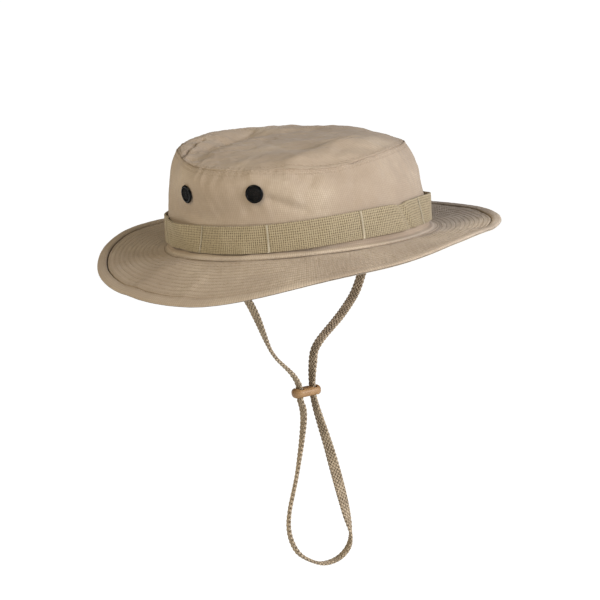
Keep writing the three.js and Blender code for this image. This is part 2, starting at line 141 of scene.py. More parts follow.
def smooth_line(points, place):
    """Points of a centripetal curve through the given ones. place counts points from the first."""
    ends = np.vstack([2 * points[0] - points[1], points, 2 * points[-1] - points[-2]])
    row = np.clip(np.floor(place).astype(int), 0, len(points) - 2)
    t = (place - row)[..., None]
    p0, p1, p2, p3 = (ends[row + k] for k in range(4))
    steps = ((p0, p1), (p1, p2), (p2, p3))
    d0, d1, d2 = (np.linalg.norm(b - a, axis=-1, keepdims=True) ** 0.5 for a, b in steps)
    leave = ((p1 - p0) / d0 - (p2 - p0) / (d0 + d1) + (p2 - p1) / d1) * d1
    arrive = ((p2 - p1) / d1 - (p3 - p1) / (d1 + d2) + (p3 - p2) / d2) * d1
    rise = t * t * (3 - 2 * t)
    return p1 * (1 - rise) + p2 * rise + leave * t * (1 - t) ** 2 + arrive * t * t * (t - 1)


def tube_faces(rows, sides, first):
    """Faces of a closed tube whose rings of points follow each other from the index first."""
    ring = np.arange(rows - 1)[:, None] * sides + first
    side = np.arange(sides)[None, :]
    after = (side + 1) % sides
    quads = np.stack([ring + side, ring + after, ring + after + sides, ring + side + sides], axis=-1)
    start = list(range(first, first + sides))[::-1]
    end = list(range(first + (rows - 1) * sides, first + rows * sides))
    return [*quads.reshape(-1, 4).tolist(), start, end]


def pick(piece):
    """Selects one object alone and makes it the active one."""
    bpy.ops.object.select_all(action="DESELECT")
    piece.select_set(True)
    bpy.context.view_layer.objects.active = piece


def make_piece(name, points, faces):
    """A smooth mesh object from points in metres, with its faces turned outwards."""
    mesh = bpy.data.meshes.new(name)
    mesh.from_pydata(np.asarray(points).reshape(-1, 3).tolist(), [], faces)
    piece = bpy.data.objects.new(name, mesh)
    bpy.context.collection.objects.link(piece)
    pick(piece)
    bpy.ops.object.mode_set(mode="EDIT")
    bpy.ops.mesh.select_all(action="SELECT")
    bpy.ops.mesh.normals_make_consistent(inside=False)
    bpy.ops.object.mode_set(mode="OBJECT")
    bpy.ops.object.shade_smooth()
    return piece


route = np.array([row[:3] for row in CORD_ROUTE]) * MM
route_places = np.linspace(0, len(route) - 1, ROUTE_SAMPLES)
route_line = smooth_line(route, route_places)
route_run = run_of(route_line)
cord_length = route_run[-1]
cord_run = np.linspace(0, cord_length, CORD_STEPS + 1)
cord_middle = np.stack([np.interp(cord_run, route_run, route_line[:, k]) for k in range(3)], axis=1)
route_faces = np.radians([row[3] for row in CORD_ROUTE])
cord_face = np.interp(np.interp(cord_run, route_run, route_places), np.arange(len(route)), route_faces)
cord_along = unit(np.gradient(cord_middle, axis=0))
cord_broad = np.stack([np.cos(cord_face), np.sin(cord_face), np.zeros_like(cord_face)], axis=1)
cord_broad = unit(cord_broad - cord_along * np.sum(cord_broad * cord_along, axis=1, keepdims=True))
cord_thin = np.cross(cord_along, cord_broad)

wall_core = WALL_HALF_WIDTH - WALL_HALF_THICK
half_turn = np.linspace(-math.pi / 2, math.pi / 2, WALL_POINTS)
wall_x = WALL_HALF_THICK * np.cos(half_turn) + wall_core
wall_y = WALL_HALF_THICK * np.sin(half_turn)
wall = np.stack([np.append(wall_x, -wall_x), np.append(wall_y, -wall_y)], axis=1)
wall = np.vstack([wall, wall[:1]])
wall_run = run_of(wall)

strand_turns = np.linspace(0, 2 * math.pi, STRAND_SIDES, endpoint=False)
strand_rings = []
strand_shades = []
strand_tones = np.random.default_rng(5).uniform(0, 1, (2, STRANDS_EACH_WAY))
for way in (1, -1):
    for strand in range(STRANDS_EACH_WAY):
        share = strand / STRANDS_EACH_WAY + way * cord_run / STRAND_TURN
        column = share * 2 * STRANDS_EACH_WAY
        over = way * np.cos(math.pi * column)
        at = np.mod(share, 1) * wall_run[-1]
        x = np.interp(at, wall_run, wall[:, 0])
        y = np.interp(at, wall_run, wall[:, 1])
        out_x = (x - np.clip(x, -wall_core, wall_core)) / WALL_HALF_THICK
        out_y = y / WALL_HALF_THICK
        lift = over * STRAND_LIFT
        x = (x + out_x * lift)[:, None]
        y = (y + out_y * lift)[:, None]
        strand_middle = cord_middle + cord_broad * x + cord_thin * y
        strand_out = cord_broad * out_x[:, None] + cord_thin * out_y[:, None]
        strand_side = unit(np.cross(unit(np.gradient(strand_middle, axis=0)), strand_out))
        ring_across = STRAND_HALF_WIDTH * np.cos(strand_turns)[:, None]
        ring_out = STRAND_HALF_THICK * np.sin(strand_turns)[:, None]
        ring = strand_middle[:, None] + strand_side[:, None] * ring_across + strand_out[:, None] * ring_out
        strand_rings.append(ring)
        # Painted shade where the strand dips under and at its edges, and painted light where it rides over.
        edge_shade = 1 - EDGE_SHADE_DEPTH * np.cos(strand_turns)[None, :] ** 4
        own_tone = OWN_TONE * strand_tones[(way + 1) // 2, strand]
        strand_shades.append(own_tone + OVER_UNDER_SHADE * (0.5 + 0.5 * over[:, None]) * edge_shade)
strand_size = (CORD_STEPS + 1) * STRAND_SIDES
strand_faces = [
    face
    for strand in range(2 * STRANDS_EACH_WAY)
    for face in tube_faces(CORD_STEPS + 1, STRAND_SIDES, strand * strand_size)
]
chin_cord = make_piece("braided_chin_cord", np.array(strand_rings), strand_faces)
shade = chin_cord.data.attributes.new("strand_shade", "FLOAT", "POINT")
shade.data.foreach_set("value", np.array(strand_shades).reshape(-1))


def linear(hex_code):
    """Linear colour of an sRGB hex value."""
    channels = [int(hex_code[i : i + 2], 16) / 255 for i in (1, 3, 5)]
    return [*(c / 12.92 if c <= 0.04045 else ((c + 0.055) / 1.055) ** 2.4 for c in channels), 1]


def new_material(name):
    """An empty material, its node tree and its shader."""
    material = bpy.data.materials.new(name)
    material.use_nodes = True
    return material, material.node_tree, material.node_tree.nodes["Principled BSDF"]


def add_node(tree, kind, settings=None, links=None):
    """A node with its settings, on the node or on its sockets, and the links that come into it."""
    node = tree.nodes.new(kind)
    for name, value in (settings or {}).items():
        if isinstance(name, str) and hasattr(node, name):
            setattr(node, name, value)
        else:
            node.inputs[name].default_value = value
    for name, source in (links or {}).items():
        tree.links.new(source, node.inputs[name])
    return node


def set_ramp(node, stops):
    """Colours of a colour ramp, as places and hex values."""
    ramp = node.color_ramp
    ramp.elements[0].position, ramp.elements[1].position = stops[0][0], stops[-1][0]
    ramp.elements[0].color, ramp.elements[1].color = linear(stops[0][1]), linear(stops[-1][1])
    for place, colour in stops[1:-1]:
        ramp.elements.new(place).color = linear(colour)


# Braided cotton yarn: matt and a little fuzzy, with painted shade where a strand dips under the next one and
# at its edges.
FIBRE_GRAIN = 0.5 * MM  # fibres are finer, and are drawn at this size so that they show
braid_yarn, tree, shader = new_material("braided_cotton_yarn")
place = add_node(tree, "ShaderNodeTexCoord")
fibres = add_node(
    tree,
    "ShaderNodeTexNoise",
    {"Scale": 1 / FIBRE_GRAIN, "Detail": 3, "Roughness": 0.6},
    {"Vector": place.outputs["Object"]},
)
tone = add_node(tree, "ShaderNodeAttribute", {"attribute_name": "strand_shade"})
mixed = add_node(
    tree,
    "ShaderNodeMath",
    {"operation": "MULTIPLY_ADD", 1: 0.6},
    {0: tone.outputs["Fac"], 2: fibres.outputs["Fac"]},
)
yarn_colour = add_node(tree, "ShaderNodeValToRGB", links={"Fac": mixed.outputs["Value"]})
set_ramp(yarn_colour, ((0.35, "#372d21"), (0.65, "#7b6a53"), (1.0, "#bca98c")))
fuzz = add_node(
    tree,
    "ShaderNodeBump",
    {"Strength": 0.5, "Distance": 0.2 * MM},
    {"Height": fibres.outputs["Fac"]},
)
tree.links.new(yarn_colour.outputs["Color"], shader.inputs["Base Color"])
tree.links.new(fuzz.outputs["Normal"], shader.inputs["Normal"])
shader.inputs["Roughness"].default_value = 0.88
shader.inputs["Sheen Weight"].default_value = 0.15
chin_cord.data.materials.append(braid_yarn)

# Cord slider. A small moulded pill of tan plastic with a pinched waist and two slots.
# Both branches of the cord run through it, and it holds them by friction.
SLIDER_LENGTH = 23 * MM
SLIDER_DEPTH = 13 * MM
SLIDER_HEIGHT = 7.6 * MM
SLIDER_PLACE = Vector((-9.4, 0, -113.3)) * MM
SLIDER_HEADING = math.radians(-20)
SLOT_OFFSET = 5.7 * MM
SLOT_SIZE = (3.7 * MM, 9.6 * MM)
PILL_ROUNDING = 6.2 * MM  # of the ends, seen from above
EDGE_ROUNDING = 3.3 * MM
SLOT_ROUNDING = 1.5 * MM
SKIN_STEP = 0.34 * MM
WAIST_REACH = 0.42  # how far the waist goes from the middle, as a share of the length
WAIST_PINCH = 0.16


def apply_modifier(piece, kind, **settings):
    """Adds a modifier with its settings and applies it."""
    modifier = piece.modifiers.new(kind.lower(), kind)
    for name, value in settings.items():
        setattr(modifier, name, value)
    pick(piece)
    bpy.ops.object.modifier_apply(modifier=modifier.name)


def rounded_block(name, size, rounding, segments):
    """A block about the origin whose upright edges are rounded."""
    bpy.ops.object.select_all(action="DESELECT")
    bpy.ops.mesh.primitive_cube_add(size=1)
    block = bpy.context.object
    block.name = name
    block.data.transform(Matrix.Diagonal((*size, 1)))
    bpy.ops.object.mode_set(mode="EDIT")
    bpy.ops.mesh.select_mode(type="EDGE")
    bpy.ops.mesh.select_all(action="DESELECT")
    bpy.ops.object.mode_set(mode="OBJECT")
    for edge in block.data.edges:
        ends = [block.data.vertices[v].co for v in edge.vertices]
        edge.select = abs(ends[0].z - ends[1].z) > size[2] / 2
    bpy.ops.object.mode_set(mode="EDIT")
    bpy.ops.mesh.bevel(offset=rounding, segments=segments, affect="EDGES")
    bpy.ops.object.mode_set(mode="OBJECT")
    return block


slider = rounded_block("tan_cord_slider", (SLIDER_LENGTH, SLIDER_DEPTH, SLIDER_HEIGHT), PILL_ROUNDING, 10)
apply_modifier(
    slider,
    "BEVEL",
    width=EDGE_ROUNDING,
    segments=6,
    angle_limit=math.radians(60),
    use_clamp_overlap=False,
)
for side in (-1, 1):
    cutter = rounded_block("slot", (*SLOT_SIZE, 4 * SLIDER_HEIGHT), SLOT_ROUNDING, 4)
    cutter.data.transform(Matrix.Translation((side * SLOT_OFFSET, 0, 0)))
    apply_modifier(slider, "BOOLEAN", object=cutter, operation="DIFFERENCE", solver="EXACT")
    bpy.data.objects.remove(cutter)
apply_modifier(slider, "REMESH", mode="VOXEL", voxel_size=SKIN_STEP)
apply_modifier(slider, "SMOOTH", factor=0.5, iterations=5)
for vertex in slider.data.vertices:
    waist = 1 - min(1, abs(vertex.co.x) / (SLIDER_LENGTH * WAIST_REACH)) ** 2
    vertex.co.z *= 1 - WAIST_PINCH * waist
slider.data.transform(Matrix.Translation(SLIDER_PLACE) @ Matrix.Rotation(SLIDER_HEADING, 4, "Z"))
bpy.ops.object.shade_smooth()

# Moulded nylon: half matt, evenly coloured, with a faint cloudiness and fine scuffs.
CLOUD_SIZE = 6 * MM
SCUFF_SIZE = 0.7 * MM
tan_nylon, tree, shader = new_material("moulded_tan_nylon")
place = add_node(tree, "ShaderNodeTexCoord")
clouds = add_node(
    tree, "ShaderNodeTexNoise", {"Scale": 1 / CLOUD_SIZE, "Detail": 4}, {"Vector": place.outputs["Object"]}
)
nylon_colour = add_node(tree, "ShaderNodeValToRGB", links={"Fac": clouds.outputs["Fac"]})
set_ramp(nylon_colour, ((0.3, "#8c6944"), (0.7, "#a68257")))
scuffs = add_node(
    tree, "ShaderNodeTexNoise", {"Scale": 1 / SCUFF_SIZE, "Detail": 4}, {"Vector": place.outputs["Object"]}
)
gloss = add_node(
    tree,
    "ShaderNodeMapRange",
    {"From Min": 0.3, "From Max": 0.7, "To Min": 0.38, "To Max": 0.55},
    {"Value": scuffs.outputs["Fac"]},
)
dimples = add_node(
    tree, "ShaderNodeBump", {"Strength": 0.15, "Distance": 0.1 * MM}, {"Height": scuffs.outputs["Fac"]}
)
tree.links.new(nylon_colour.outputs["Color"], shader.inputs["Base Color"])
tree.links.new(gloss.outputs["Result"], shader.inputs["Roughness"])
tree.links.new(dimples.outputs["Normal"], shader.inputs["Normal"])
slider.data.materials.append(tan_nylon)

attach(slider, "root")
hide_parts("cord_slider")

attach(chin_cord, "root")
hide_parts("chin_cord")

# Brim. Two layers of cotton quilted together with rings of stitches, on an oval head opening.
# The edge is turned under into a thick hem with a groove and a row of stitches beside it.
HEAD_LENGTH = 200 * MM
HEAD_WIDTH = 166 * MM
BRIM_CURVE = 1.35  # power of the fall from the crown to the edge
BRIM_THICK = 2.2 * MM
FLANGE_REACH = 9.2 * MM  # edge of the crown's flange, which lies on the brim
# The flange is narrower at the back right: angle, spread in degrees and how much.
FLANGE_TRIM = (-142, 26, 3.6)
# Angle round the hat from the front, height of the edge and reach from the head opening, in millimetres.
BRIM_SWEEP = (
    (-155, 3, 55),
    (-130, -10.5, 57),
    (-105, -20.3, 57),
    (-80, -24.2, 55.5),
    (-45, -11, 55.5),
    (-22, -5, 56.5),
    (-5, 1.2, 56.5),
    (8, 2.6, 55),
    (22, 1.5, 54),
    (50, 3, 54.5),
    (80, 4.4, 56),
    (110, 7.2, 56),
    (140, 8, 56),
    (180, 9.6, 56),
)
# Shares of the reach: the first ring of stitches, the step between rings, the hem's groove and its stitches.
QUILT_FIRST = 0.205
QUILT_STEP = 0.0625
QUILT_ROWS = 10
HEM_GROOVE = 0.866
HEM_STITCH = 0.897
QUILT_DEPTH = 0.24 * MM
HEM_DEPTH = 1.2 * MM
STITCH_DEPTH = 0.2 * MM
GROOVE_HALF = 0.5 * MM  # half width of a stitched groove
HEM_RISE = 0.42 * MM
HEM_RAMP = 0.02  # share of the reach in which the hem rises
EDGE_START = 0.955  # share of the reach where the edge starts to round off
EDGE_ROUND = 1.25 * MM
UNDER_RELIEF = 0.35  # how much of the relief shows below
# How unevenly the rings pull: share, wave length in millimetres and seed, and the least and most pull.
QUILT_PULLS = ((0.35, 34, 11), (0.25, 9, 12))
PULL_LIMITS = (0.3, 1.8)
# Waves of the brim: height and length in millimetres, and seed.
BRIM_WAVES = ((0.12, 7, 13), (0.3, 26, 14))
# The waves grow from the crown in this share of the reach, and die down to the last value at the edge.
WAVES_GROW = 0.25
WAVES_FALL = 0.2
WAVES_AT_EDGE = 0.3
# Angle, and how clearly the hem's groove shows there.
GROOVE_SHOWS = (
    (-165, 1.4),
    (-125, 1.3),
    (-100, 0.8),
    (-80, 0.4),
    (-10, 0.35),
    (25, 0.7),
    (60, 1.4),
    (130, 1.4),
)
# Angle, and how clearly the rings of stitches show there.
RINGS_SHOW = (
    (-165, 0.9),
    (-110, 0.9),
    (-65, 0.8),
    (-20, 1.3),
    (4, 1.3),
    (22, 0.5),
    (50, 0.3),
    (105, 0.3),
    (150, 0.7),
)
# Angle, and how much painted light brightens the brim there. Painted shade darkens it where the value is
# below nothing.
BRIM_PAINTED_LIGHT = (
    (-165, 0),
    (-110, 0),
    (-65, 0.4),
    (-30, 0.3),
    (0, 0.6),
    (28, 0.8),
    (50, 0),
    (70, -0.8),
    (120, -0.7),
)
# Soft ridges of the brim: where they start and end in plan, half width and lift, in millimetres.
BRIM_FOLDS = (
    (-94, 38, -128, 47, 10, 0.9),
    (-110, -2, -130, -4, 6, 0.8),
    (8, -122, 26, -132, 8, 1),
)


def round_table(rows, column):
    """A smooth closed curve of one column of a table whose rows go round the hat, in degrees."""
    angles = np.array([row[0] for row in rows], float)
    values = np.array([row[column] for row in rows], float)
    spans = np.mod(np.roll(angles, -1) - angles, 360)
    slopes = (np.roll(values, -1) - np.roll(values, 1)) / (np.roll(spans, 1) + spans)

    def at(angle):
        past = np.mod(np.asarray(angle, float)[..., None] - angles, 360)
        row = np.argmin(past, axis=-1)
        after = (row + 1) % len(angles)
        t = np.min(past, axis=-1) / spans[row]
        rise = t * t * (3 - 2 * t)
        leave = t * (1 - t) ** 2 * spans[row] * slopes[row]
        arrive = t * t * (t - 1) * spans[row] * slopes[after]
        return values[row] * (1 - rise) + values[after] * rise + leave + arrive

    return at


brim_edge_mm = round_table(BRIM_SWEEP, 1)
brim_reach_mm = round_table(BRIM_SWEEP, 2)
groove_shows = round_table(GROOVE_SHOWS, 1)
rings_show = round_table(RINGS_SHOW, 1)
brim_painted_light = round_table(BRIM_PAINTED_LIGHT, 1)


def oval_point(angle, clear_front, clear_side, height):
    """A point round the head opening, outside it by the given distances."""
    turn = np.radians(angle)
    x = (HEAD_WIDTH / 2 + clear_side) * np.sin(turn)
    y = -(HEAD_LENGTH / 2 + clear_front) * np.cos(turn)
    return np.stack(np.broadcast_arrays(x, y, height), axis=-1)


def brim_height(angle, out):
    share = np.maximum(0, out) / (brim_reach_mm(angle) * MM)
    return brim_edge_mm(angle) * MM * share**BRIM_CURVE


def turn_from(angle, middle):
    """Angle from a place round the hat, between -180 and 180 degrees."""
    return np.mod(angle - middle + 180, 360) - 180


def bell(distance, width):
    """A soft bump: 1 at no distance, and almost nothing at twice the width."""
    return np.exp(-((distance / width) ** 2))


def flange_trim(angle):
    middle, spread, amount = FLANGE_TRIM
    return amount * MM * bell(turn_from(angle, middle), spread)


def soft_noise(points, wave, seed, count=9):
    """Smooth heights of about -1 to 1 at points in space, in waves of the given length."""
    draw = np.random.default_rng(seed)
    total = np.zeros(points.shape[:-1])
    for _ in range(count):
        heading = unit(draw.normal(size=3))
        length = wave * draw.uniform(0.7, 1.5)
        total += np.sin(2 * math.pi / length * (points @ heading) + draw.uniform(0, 2 * math.pi))
    return total / math.sqrt(count)


def cloth_waves(points, waves):
    """Sum of the waves of a table, whose rows give height and length in millimetres, and a seed."""
    return sum(height * MM * soft_noise(points, length * MM, seed) for height, length, seed in waves)


def past_line(flat, start, end):
    """Distance of flat points from the line between two points."""
    run = np.subtract(end, start)
    along = np.clip((flat - start) @ run / (run @ run), 0, 1)
    return np.linalg.norm(flat - start - along[..., None] * run, axis=-1)


def brim_marks(angle, out):
    """How much a point lies in a ring of stitches, in the hem's groove and in the hem's stitches, up to 1."""
    reach = brim_reach_mm(angle) * MM
    share = out / reach
    row = np.clip(np.round((share - QUILT_FIRST) / QUILT_STEP), 0, QUILT_ROWS)
    past_ring = (share - QUILT_FIRST - row * QUILT_STEP) * reach
    past_groove = (share - HEM_GROOVE) * reach
    past_stitch = (share - HEM_STITCH) * reach
    rings, groove, stitches = (bell(past, GROOVE_HALF) for past in (past_ring, past_groove, past_stitch))
    return rings * rings_show(angle), groove * groove_shows(angle), stitches


def brim_face(angle, out, under=False):
    """A point of the brim's upper or under face."""
    share = out / (brim_reach_mm(angle) * MM)
    spot = oval_point(angle, out, out, 0.0)
    rings, groove, stitches = brim_marks(angle, out)
    pull = 1 + sum(part * soft_noise(spot, length * MM, seed) for part, length, seed in QUILT_PULLS)
    pucker = cloth_waves(spot, BRIM_WAVES)
    pucker *= np.clip(share / WAVES_GROW, 0, 1) * np.clip((1 - share) / WAVES_FALL, WAVES_AT_EDGE, 1)
    for x1, y1, x2, y2, width, lift in BRIM_FOLDS:
        pucker += lift * MM * bell(past_line(spot[..., :2] / MM, (x1, y1), (x2, y2)), width)
    hem = HEM_RISE * np.clip((share - HEM_GROOVE) / HEM_RAMP, 0, 1)
    quilting = QUILT_DEPTH * rings * np.clip(pull, *PULL_LIMITS)
    rise = hem - HEM_DEPTH * groove - quilting - STITCH_DEPTH * stitches
    edge = np.clip((share - EDGE_START) / (1 - EDGE_START), 0, 1)
    round_off = EDGE_ROUND * (1 - np.sqrt(np.clip(1 - edge**2, 0, 1)))
    height = brim_height(angle, out) + pucker
    if under:
        height = height - BRIM_THICK - UNDER_RELIEF * rise + round_off
    else:
        height = height + rise - round_off
    return oval_point(angle, out, out, height)


def grid_blank(name, across, along):
    """A flat grid of cloth, with the share across and along of each of its points."""
    bpy.ops.object.select_all(action="DESELECT")
    bpy.ops.mesh.primitive_grid_add(x_subdivisions=across, y_subdivisions=along, size=2, calc_uvs=True)
    blank = bpy.context.object
    blank.name = name
    flat = np.empty(len(blank.data.vertices) * 3)
    blank.data.vertices.foreach_get("co", flat)
    shares = (flat.reshape(-1, 3)[:, :2] + 1) / 2
    return blank, np.clip(shares[:, 0], 0, 1), np.clip(shares[:, 1], 0, 1)


def form_cloth(blank, points, round_length, cloth_run, painted_shading):
    """Moves a blank's points into place, closes its seams and lays its thread lines in metres."""
    blank.data.vertices.foreach_set("co", np.ascontiguousarray(points).reshape(-1))
    # This point attribute holds painted shade, and painted light where it is below nothing, for the cloth's
    # colour.
    painted_light_and_shade = blank.data.attributes.new("painted_light_and_shade", "FLOAT", "POINT")
    painted_light_and_shade.data.foreach_set("value", np.ascontiguousarray(painted_shading))
    layer = blank.data.uv_layers.active
    layer.name = "thread_lines"
    lines = np.empty(len(layer.data) * 2)
    layer.data.foreach_get("uv", lines)
    lines = lines.reshape(-1, 2)
    lines[:, 0] *= round_length
    lines[:, 1] = np.interp(lines[:, 1], np.linspace(0, 1, len(cloth_run)), cloth_run)
    layer.data.foreach_set("uv", lines.reshape(-1))
    bpy.ops.object.mode_set(mode="EDIT")
    bpy.ops.mesh.select_all(action="SELECT")
    bpy.ops.mesh.remove_doubles(threshold=0.002 * MM)
    bpy.ops.mesh.normals_make_consistent(inside=False)
    bpy.ops.object.mode_set(mode="OBJECT")
    bpy.ops.object.shade_smooth()


# Rows of the brim's mesh, from the edge over the hem, the rings and the foot, and back below.
BRIM_COLUMNS = 600
ROWS_IN_A_RING = 6
HEM_ROWS = np.linspace(1, 0.857, 31)
FOOT_ROWS = np.linspace(0.182, 0, 34)
UNDER_ROWS = np.linspace(0, 1, 34)
THREADS_ROUND = 760 * MM  # length of the thread lines round the brim
THREADS_OUT = 57 * MM
# Painted shade in the rings, the groove and the hem's stitches, painted shadow at the flange's foot, and the
# most of all.
RING_SHADE = 0.7
GROOVE_SHADE = 1.7
STITCH_SHADE = 0.35
FLANGE_FOOT_SHADOW = 1.5
MOST_SHADE = 1.7
FLANGE_SHADOW = 0.3 * MM  # half width of the painted shadow line at the flange's foot
ring_steps = np.arange(ROWS_IN_A_RING * QUILT_ROWS + 2, -2, -1)
quilt_shares = QUILT_FIRST + ring_steps * QUILT_STEP / ROWS_IN_A_RING
brim_top_rows = np.concatenate([HEM_ROWS, quilt_shares, FOOT_ROWS])
brim_rows = np.concatenate([brim_top_rows, UNDER_ROWS])
brim, brim_turn, brim_run = grid_blank("quilted_brim", BRIM_COLUMNS, len(brim_rows) - 1)
brim_steps = np.round(brim_run * (len(brim_rows) - 1)).astype(int)
brim_on_top = brim_steps < len(brim_top_rows)
brim_share = brim_rows[brim_steps]
brim_angle = np.mod(brim_turn, 1) * 360
brim_out = brim_share * brim_reach_mm(brim_angle) * MM
brim_points = np.where(
    brim_on_top[:, None], brim_face(brim_angle, brim_out), brim_face(brim_angle, brim_out, under=True)
)
rings, groove, stitches = brim_marks(brim_angle, brim_out)
# Painted shade in the stitched rings, the hem's groove and its stitches, and a painted shadow line at the
# flange's foot.
past_flange = brim_out - FLANGE_REACH + flange_trim(brim_angle) - FLANGE_SHADOW
flange_foot_shadow_line = bell(past_flange, FLANGE_SHADOW)
brim_shade = RING_SHADE * rings + GROOVE_SHADE * groove + STITCH_SHADE * stitches + FLANGE_FOOT_SHADOW * flange_foot_shadow_line
# The brim's painted light is taken away from its painted shade here.
brim_painted_shading = np.clip(brim_shade, 0, MOST_SHADE) - brim_painted_light(brim_angle)
form_cloth(brim, brim_points, THREADS_ROUND, brim_rows * THREADS_OUT, brim_painted_shading)

# Cotton poplin: a fine matt plain weave with faint slubs, cloudy from wear. Painted shade darkens it in the
# stitched grooves, seams, hard folds and some patches, and painted light makes it paler on parts of the brim
# and on the flange.
WEAVE_STEP = 1.45 * MM  # threads are finer, and are drawn at this spacing so that they show
SLUB_SIZE = 1.75 * MM  # slubs are finer too
BLOTCH_SIZE = 45 * MM
# Colours of the cotton, from painted shade at the dark end to painted light at the bright end.
COTTON_SHADED_TO_LIT = (
    (0.01, "#514331"),
    (0.29, "#9b8973"),
    (0.52, "#a79580"),
    (0.66, "#b1a08a"),
    (0.77, "#c6b59e"),
    (1, "#d4c4ae"),
)
WAVE_TURNS = math.pi / 10  # scale times length of one wave in Blender's wave texture
cotton, tree, shader = new_material("khaki_cotton_poplin")
lines = add_node(tree, "ShaderNodeUVMap", {"uv_map": "thread_lines"})
place = add_node(tree, "ShaderNodeTexCoord")
weave = {"Scale": WAVE_TURNS / WEAVE_STEP, "Distortion": 1.2, "Detail": 2, "Detail Scale": 0.3}
along_lines = {"Vector": lines.outputs["UV"]}
warp, weft = (
    add_node(tree, "ShaderNodeTexWave", {"bands_direction": way, **weave}, along_lines)
    for way in ("X", "Y")
)
threads = add_node(
    tree,
    "ShaderNodeMath",
    {"operation": "MULTIPLY_ADD", 1: 0.6},
    {0: weft.outputs["Fac"], 2: warp.outputs["Fac"]},
)
stretched = add_node(tree, "ShaderNodeMapping", {"Scale": (1, 0.35, 1)}, along_lines)
slubs = add_node(
    tree,
    "ShaderNodeTexNoise",
    {"Scale": 1 / SLUB_SIZE, "Detail": 4, "Roughness": 0.65},
    {"Vector": stretched.outputs["Vector"]},
)
blotches = add_node(
    tree, "ShaderNodeTexNoise", {"Scale": 1 / BLOTCH_SIZE, "Detail": 5}, {"Vector": place.outputs["Object"]}
)
mottle = add_node(
    tree,
    "ShaderNodeMath",
    {"operation": "MULTIPLY_ADD", 1: 0.3},
    {0: slubs.outputs["Fac"], 2: blotches.outputs["Fac"]},
)
mottle_threads = add_node(
    tree,
    "ShaderNodeMath",
    {"operation": "MULTIPLY_ADD", 1: 0.2},
    {0: threads.outputs["Value"], 2: mottle.outputs["Value"]},
)
# Painted shade and painted light from the point attribute darken and brighten the cloth.
painted_light_and_shade = add_node(tree, "ShaderNodeAttribute", {"attribute_name": "painted_light_and_shade"})
mottle_and_painted_shade = add_node(
    tree,
    "ShaderNodeMath",
    {"operation": "MULTIPLY_ADD", 1: -0.5},
    {0: painted_light_and_shade.outputs["Fac"], 2: mottle_threads.outputs["Value"]},
)
shade = add_node(tree, "ShaderNodeMapRange", {"From Max": 1.5}, {"Value": mottle_and_painted_shade.outputs["Value"]})
cotton_colour = add_node(tree, "ShaderNodeValToRGB", links={"Fac": shade.outputs["Result"]})
set_ramp(cotton_colour, COTTON_SHADED_TO_LIT)
relief = add_node(
    tree,
    "ShaderNodeMath",
    {"operation": "MULTIPLY_ADD", 1: 0.4},
    {0: slubs.outputs["Fac"], 2: threads.outputs["Value"]},
)
weave_bump = add_node(
    tree, "ShaderNodeBump", {"Strength": 0.45, "Distance": 0.12 * MM}, {"Height": relief.outputs["Value"]}
)
tree.links.new(cotton_colour.outputs["Color"], shader.inputs["Base Color"])
tree.links.new(weave_bump.outputs["Normal"], shader.inputs["Normal"])
shader.inputs["Roughness"].default_value = 0.9
shader.inputs["Specular IOR Level"].default_value = 0.25
shader.inputs["Sheen Weight"].default_value = 0.12
brim.data.materials.append(cotton)

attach(brim, "root")
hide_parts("brim")

# Brim stitching. Cotton thread in rings through both layers of the brim, and one ring on the hem.
# Each stitch lies in its groove and dips into the cloth at both ends.
THREAD_HALF = 0.24 * MM  # a little thicker than real, so that it shows
STITCH_LENGTH = 2.5 * MM
STITCH_PITCH = 3.1 * MM
STITCH_SIDES = 4
# Four rings of points make a stitch: their places along it, and their lift and thickness in half threads.
STITCH_PLACES = np.array([0, 0.2, 0.8, 1])
STITCH_LIFTS = np.array([-1.1, 0.55, 0.55, -1.1])
STITCH_THICKS = np.array([0.55, 1, 1, 0.55])


def sew(line, outward, length=STITCH_LENGTH, pitch=STITCH_PITCH, half=THREAD_HALF, closed=True):
    """Points of the stitches along a line on the cloth, one ring of points after another."""
    path = np.vstack([line, line[:1]]) if closed else line
    normals = np.vstack([outward, outward[:1]]) if closed else outward
    run = run_of(path)
    count = max(1, int(round(run[-1] / pitch)))
    starts = np.arange(count) * run[-1] / count
    at = np.mod(starts[:, None] + length * STITCH_PLACES[None, :], run[-1] + 1e-12)
    spot = np.stack([np.interp(at, run, path[:, k]) for k in range(3)], axis=-1)
    out = unit(np.stack([np.interp(at, run, normals[:, k]) for k in range(3)], axis=-1))
    along = unit(np.repeat((spot[:, -1:] - spot[:, :1]), len(STITCH_PLACES), axis=1))
    side = np.cross(along, out)
    lift = STITCH_LIFTS[None, :, None] * half
    thick = STITCH_THICKS[None, :, None, None] * half
    turns = np.linspace(0, 2 * math.pi, STITCH_SIDES, endpoint=False) + math.pi / 4
    ring = side[:, :, None] * np.cos(turns)[:, None] + out[:, :, None] * np.sin(turns)[:, None]
    return (spot + out * lift)[:, :, None] + ring * thick


def make_stitches(name, rows):
    """One mesh of all the stitches of the rows."""
    stitches = np.concatenate(rows)
    size = stitches.shape[1] * stitches.shape[2]
    faces = [
        face
        for stitch in range(len(stitches))
        for face in tube_faces(stitches.shape[1], stitches.shape[2], stitch * size)
    ]
    return make_piece(name, stitches, faces)


ring_angles = np.linspace(0, 360, 720, endpoint=False)


def brim_stitch_row(out, under=False):
    line = brim_face(ring_angles, out, under)
    away = np.zeros_like(line)
    away[:, 2] = -1 if under else 1
    return sew(line, away)


quilt_rows = []
for row in range(QUILT_ROWS + 1):
    ring_out = (QUILT_FIRST + row * QUILT_STEP) * brim_reach_mm(ring_angles) * MM
    quilt_rows.append(brim_stitch_row(ring_out))
    quilt_rows.append(brim_stitch_row(ring_out, under=True))
hem_out = HEM_STITCH * brim_reach_mm(ring_angles) * MM
quilt_rows.append(brim_stitch_row(hem_out))
quilt_rows.append(brim_stitch_row(hem_out, under=True))
brim_stitching = make_stitches("brim_stitching", quilt_rows)

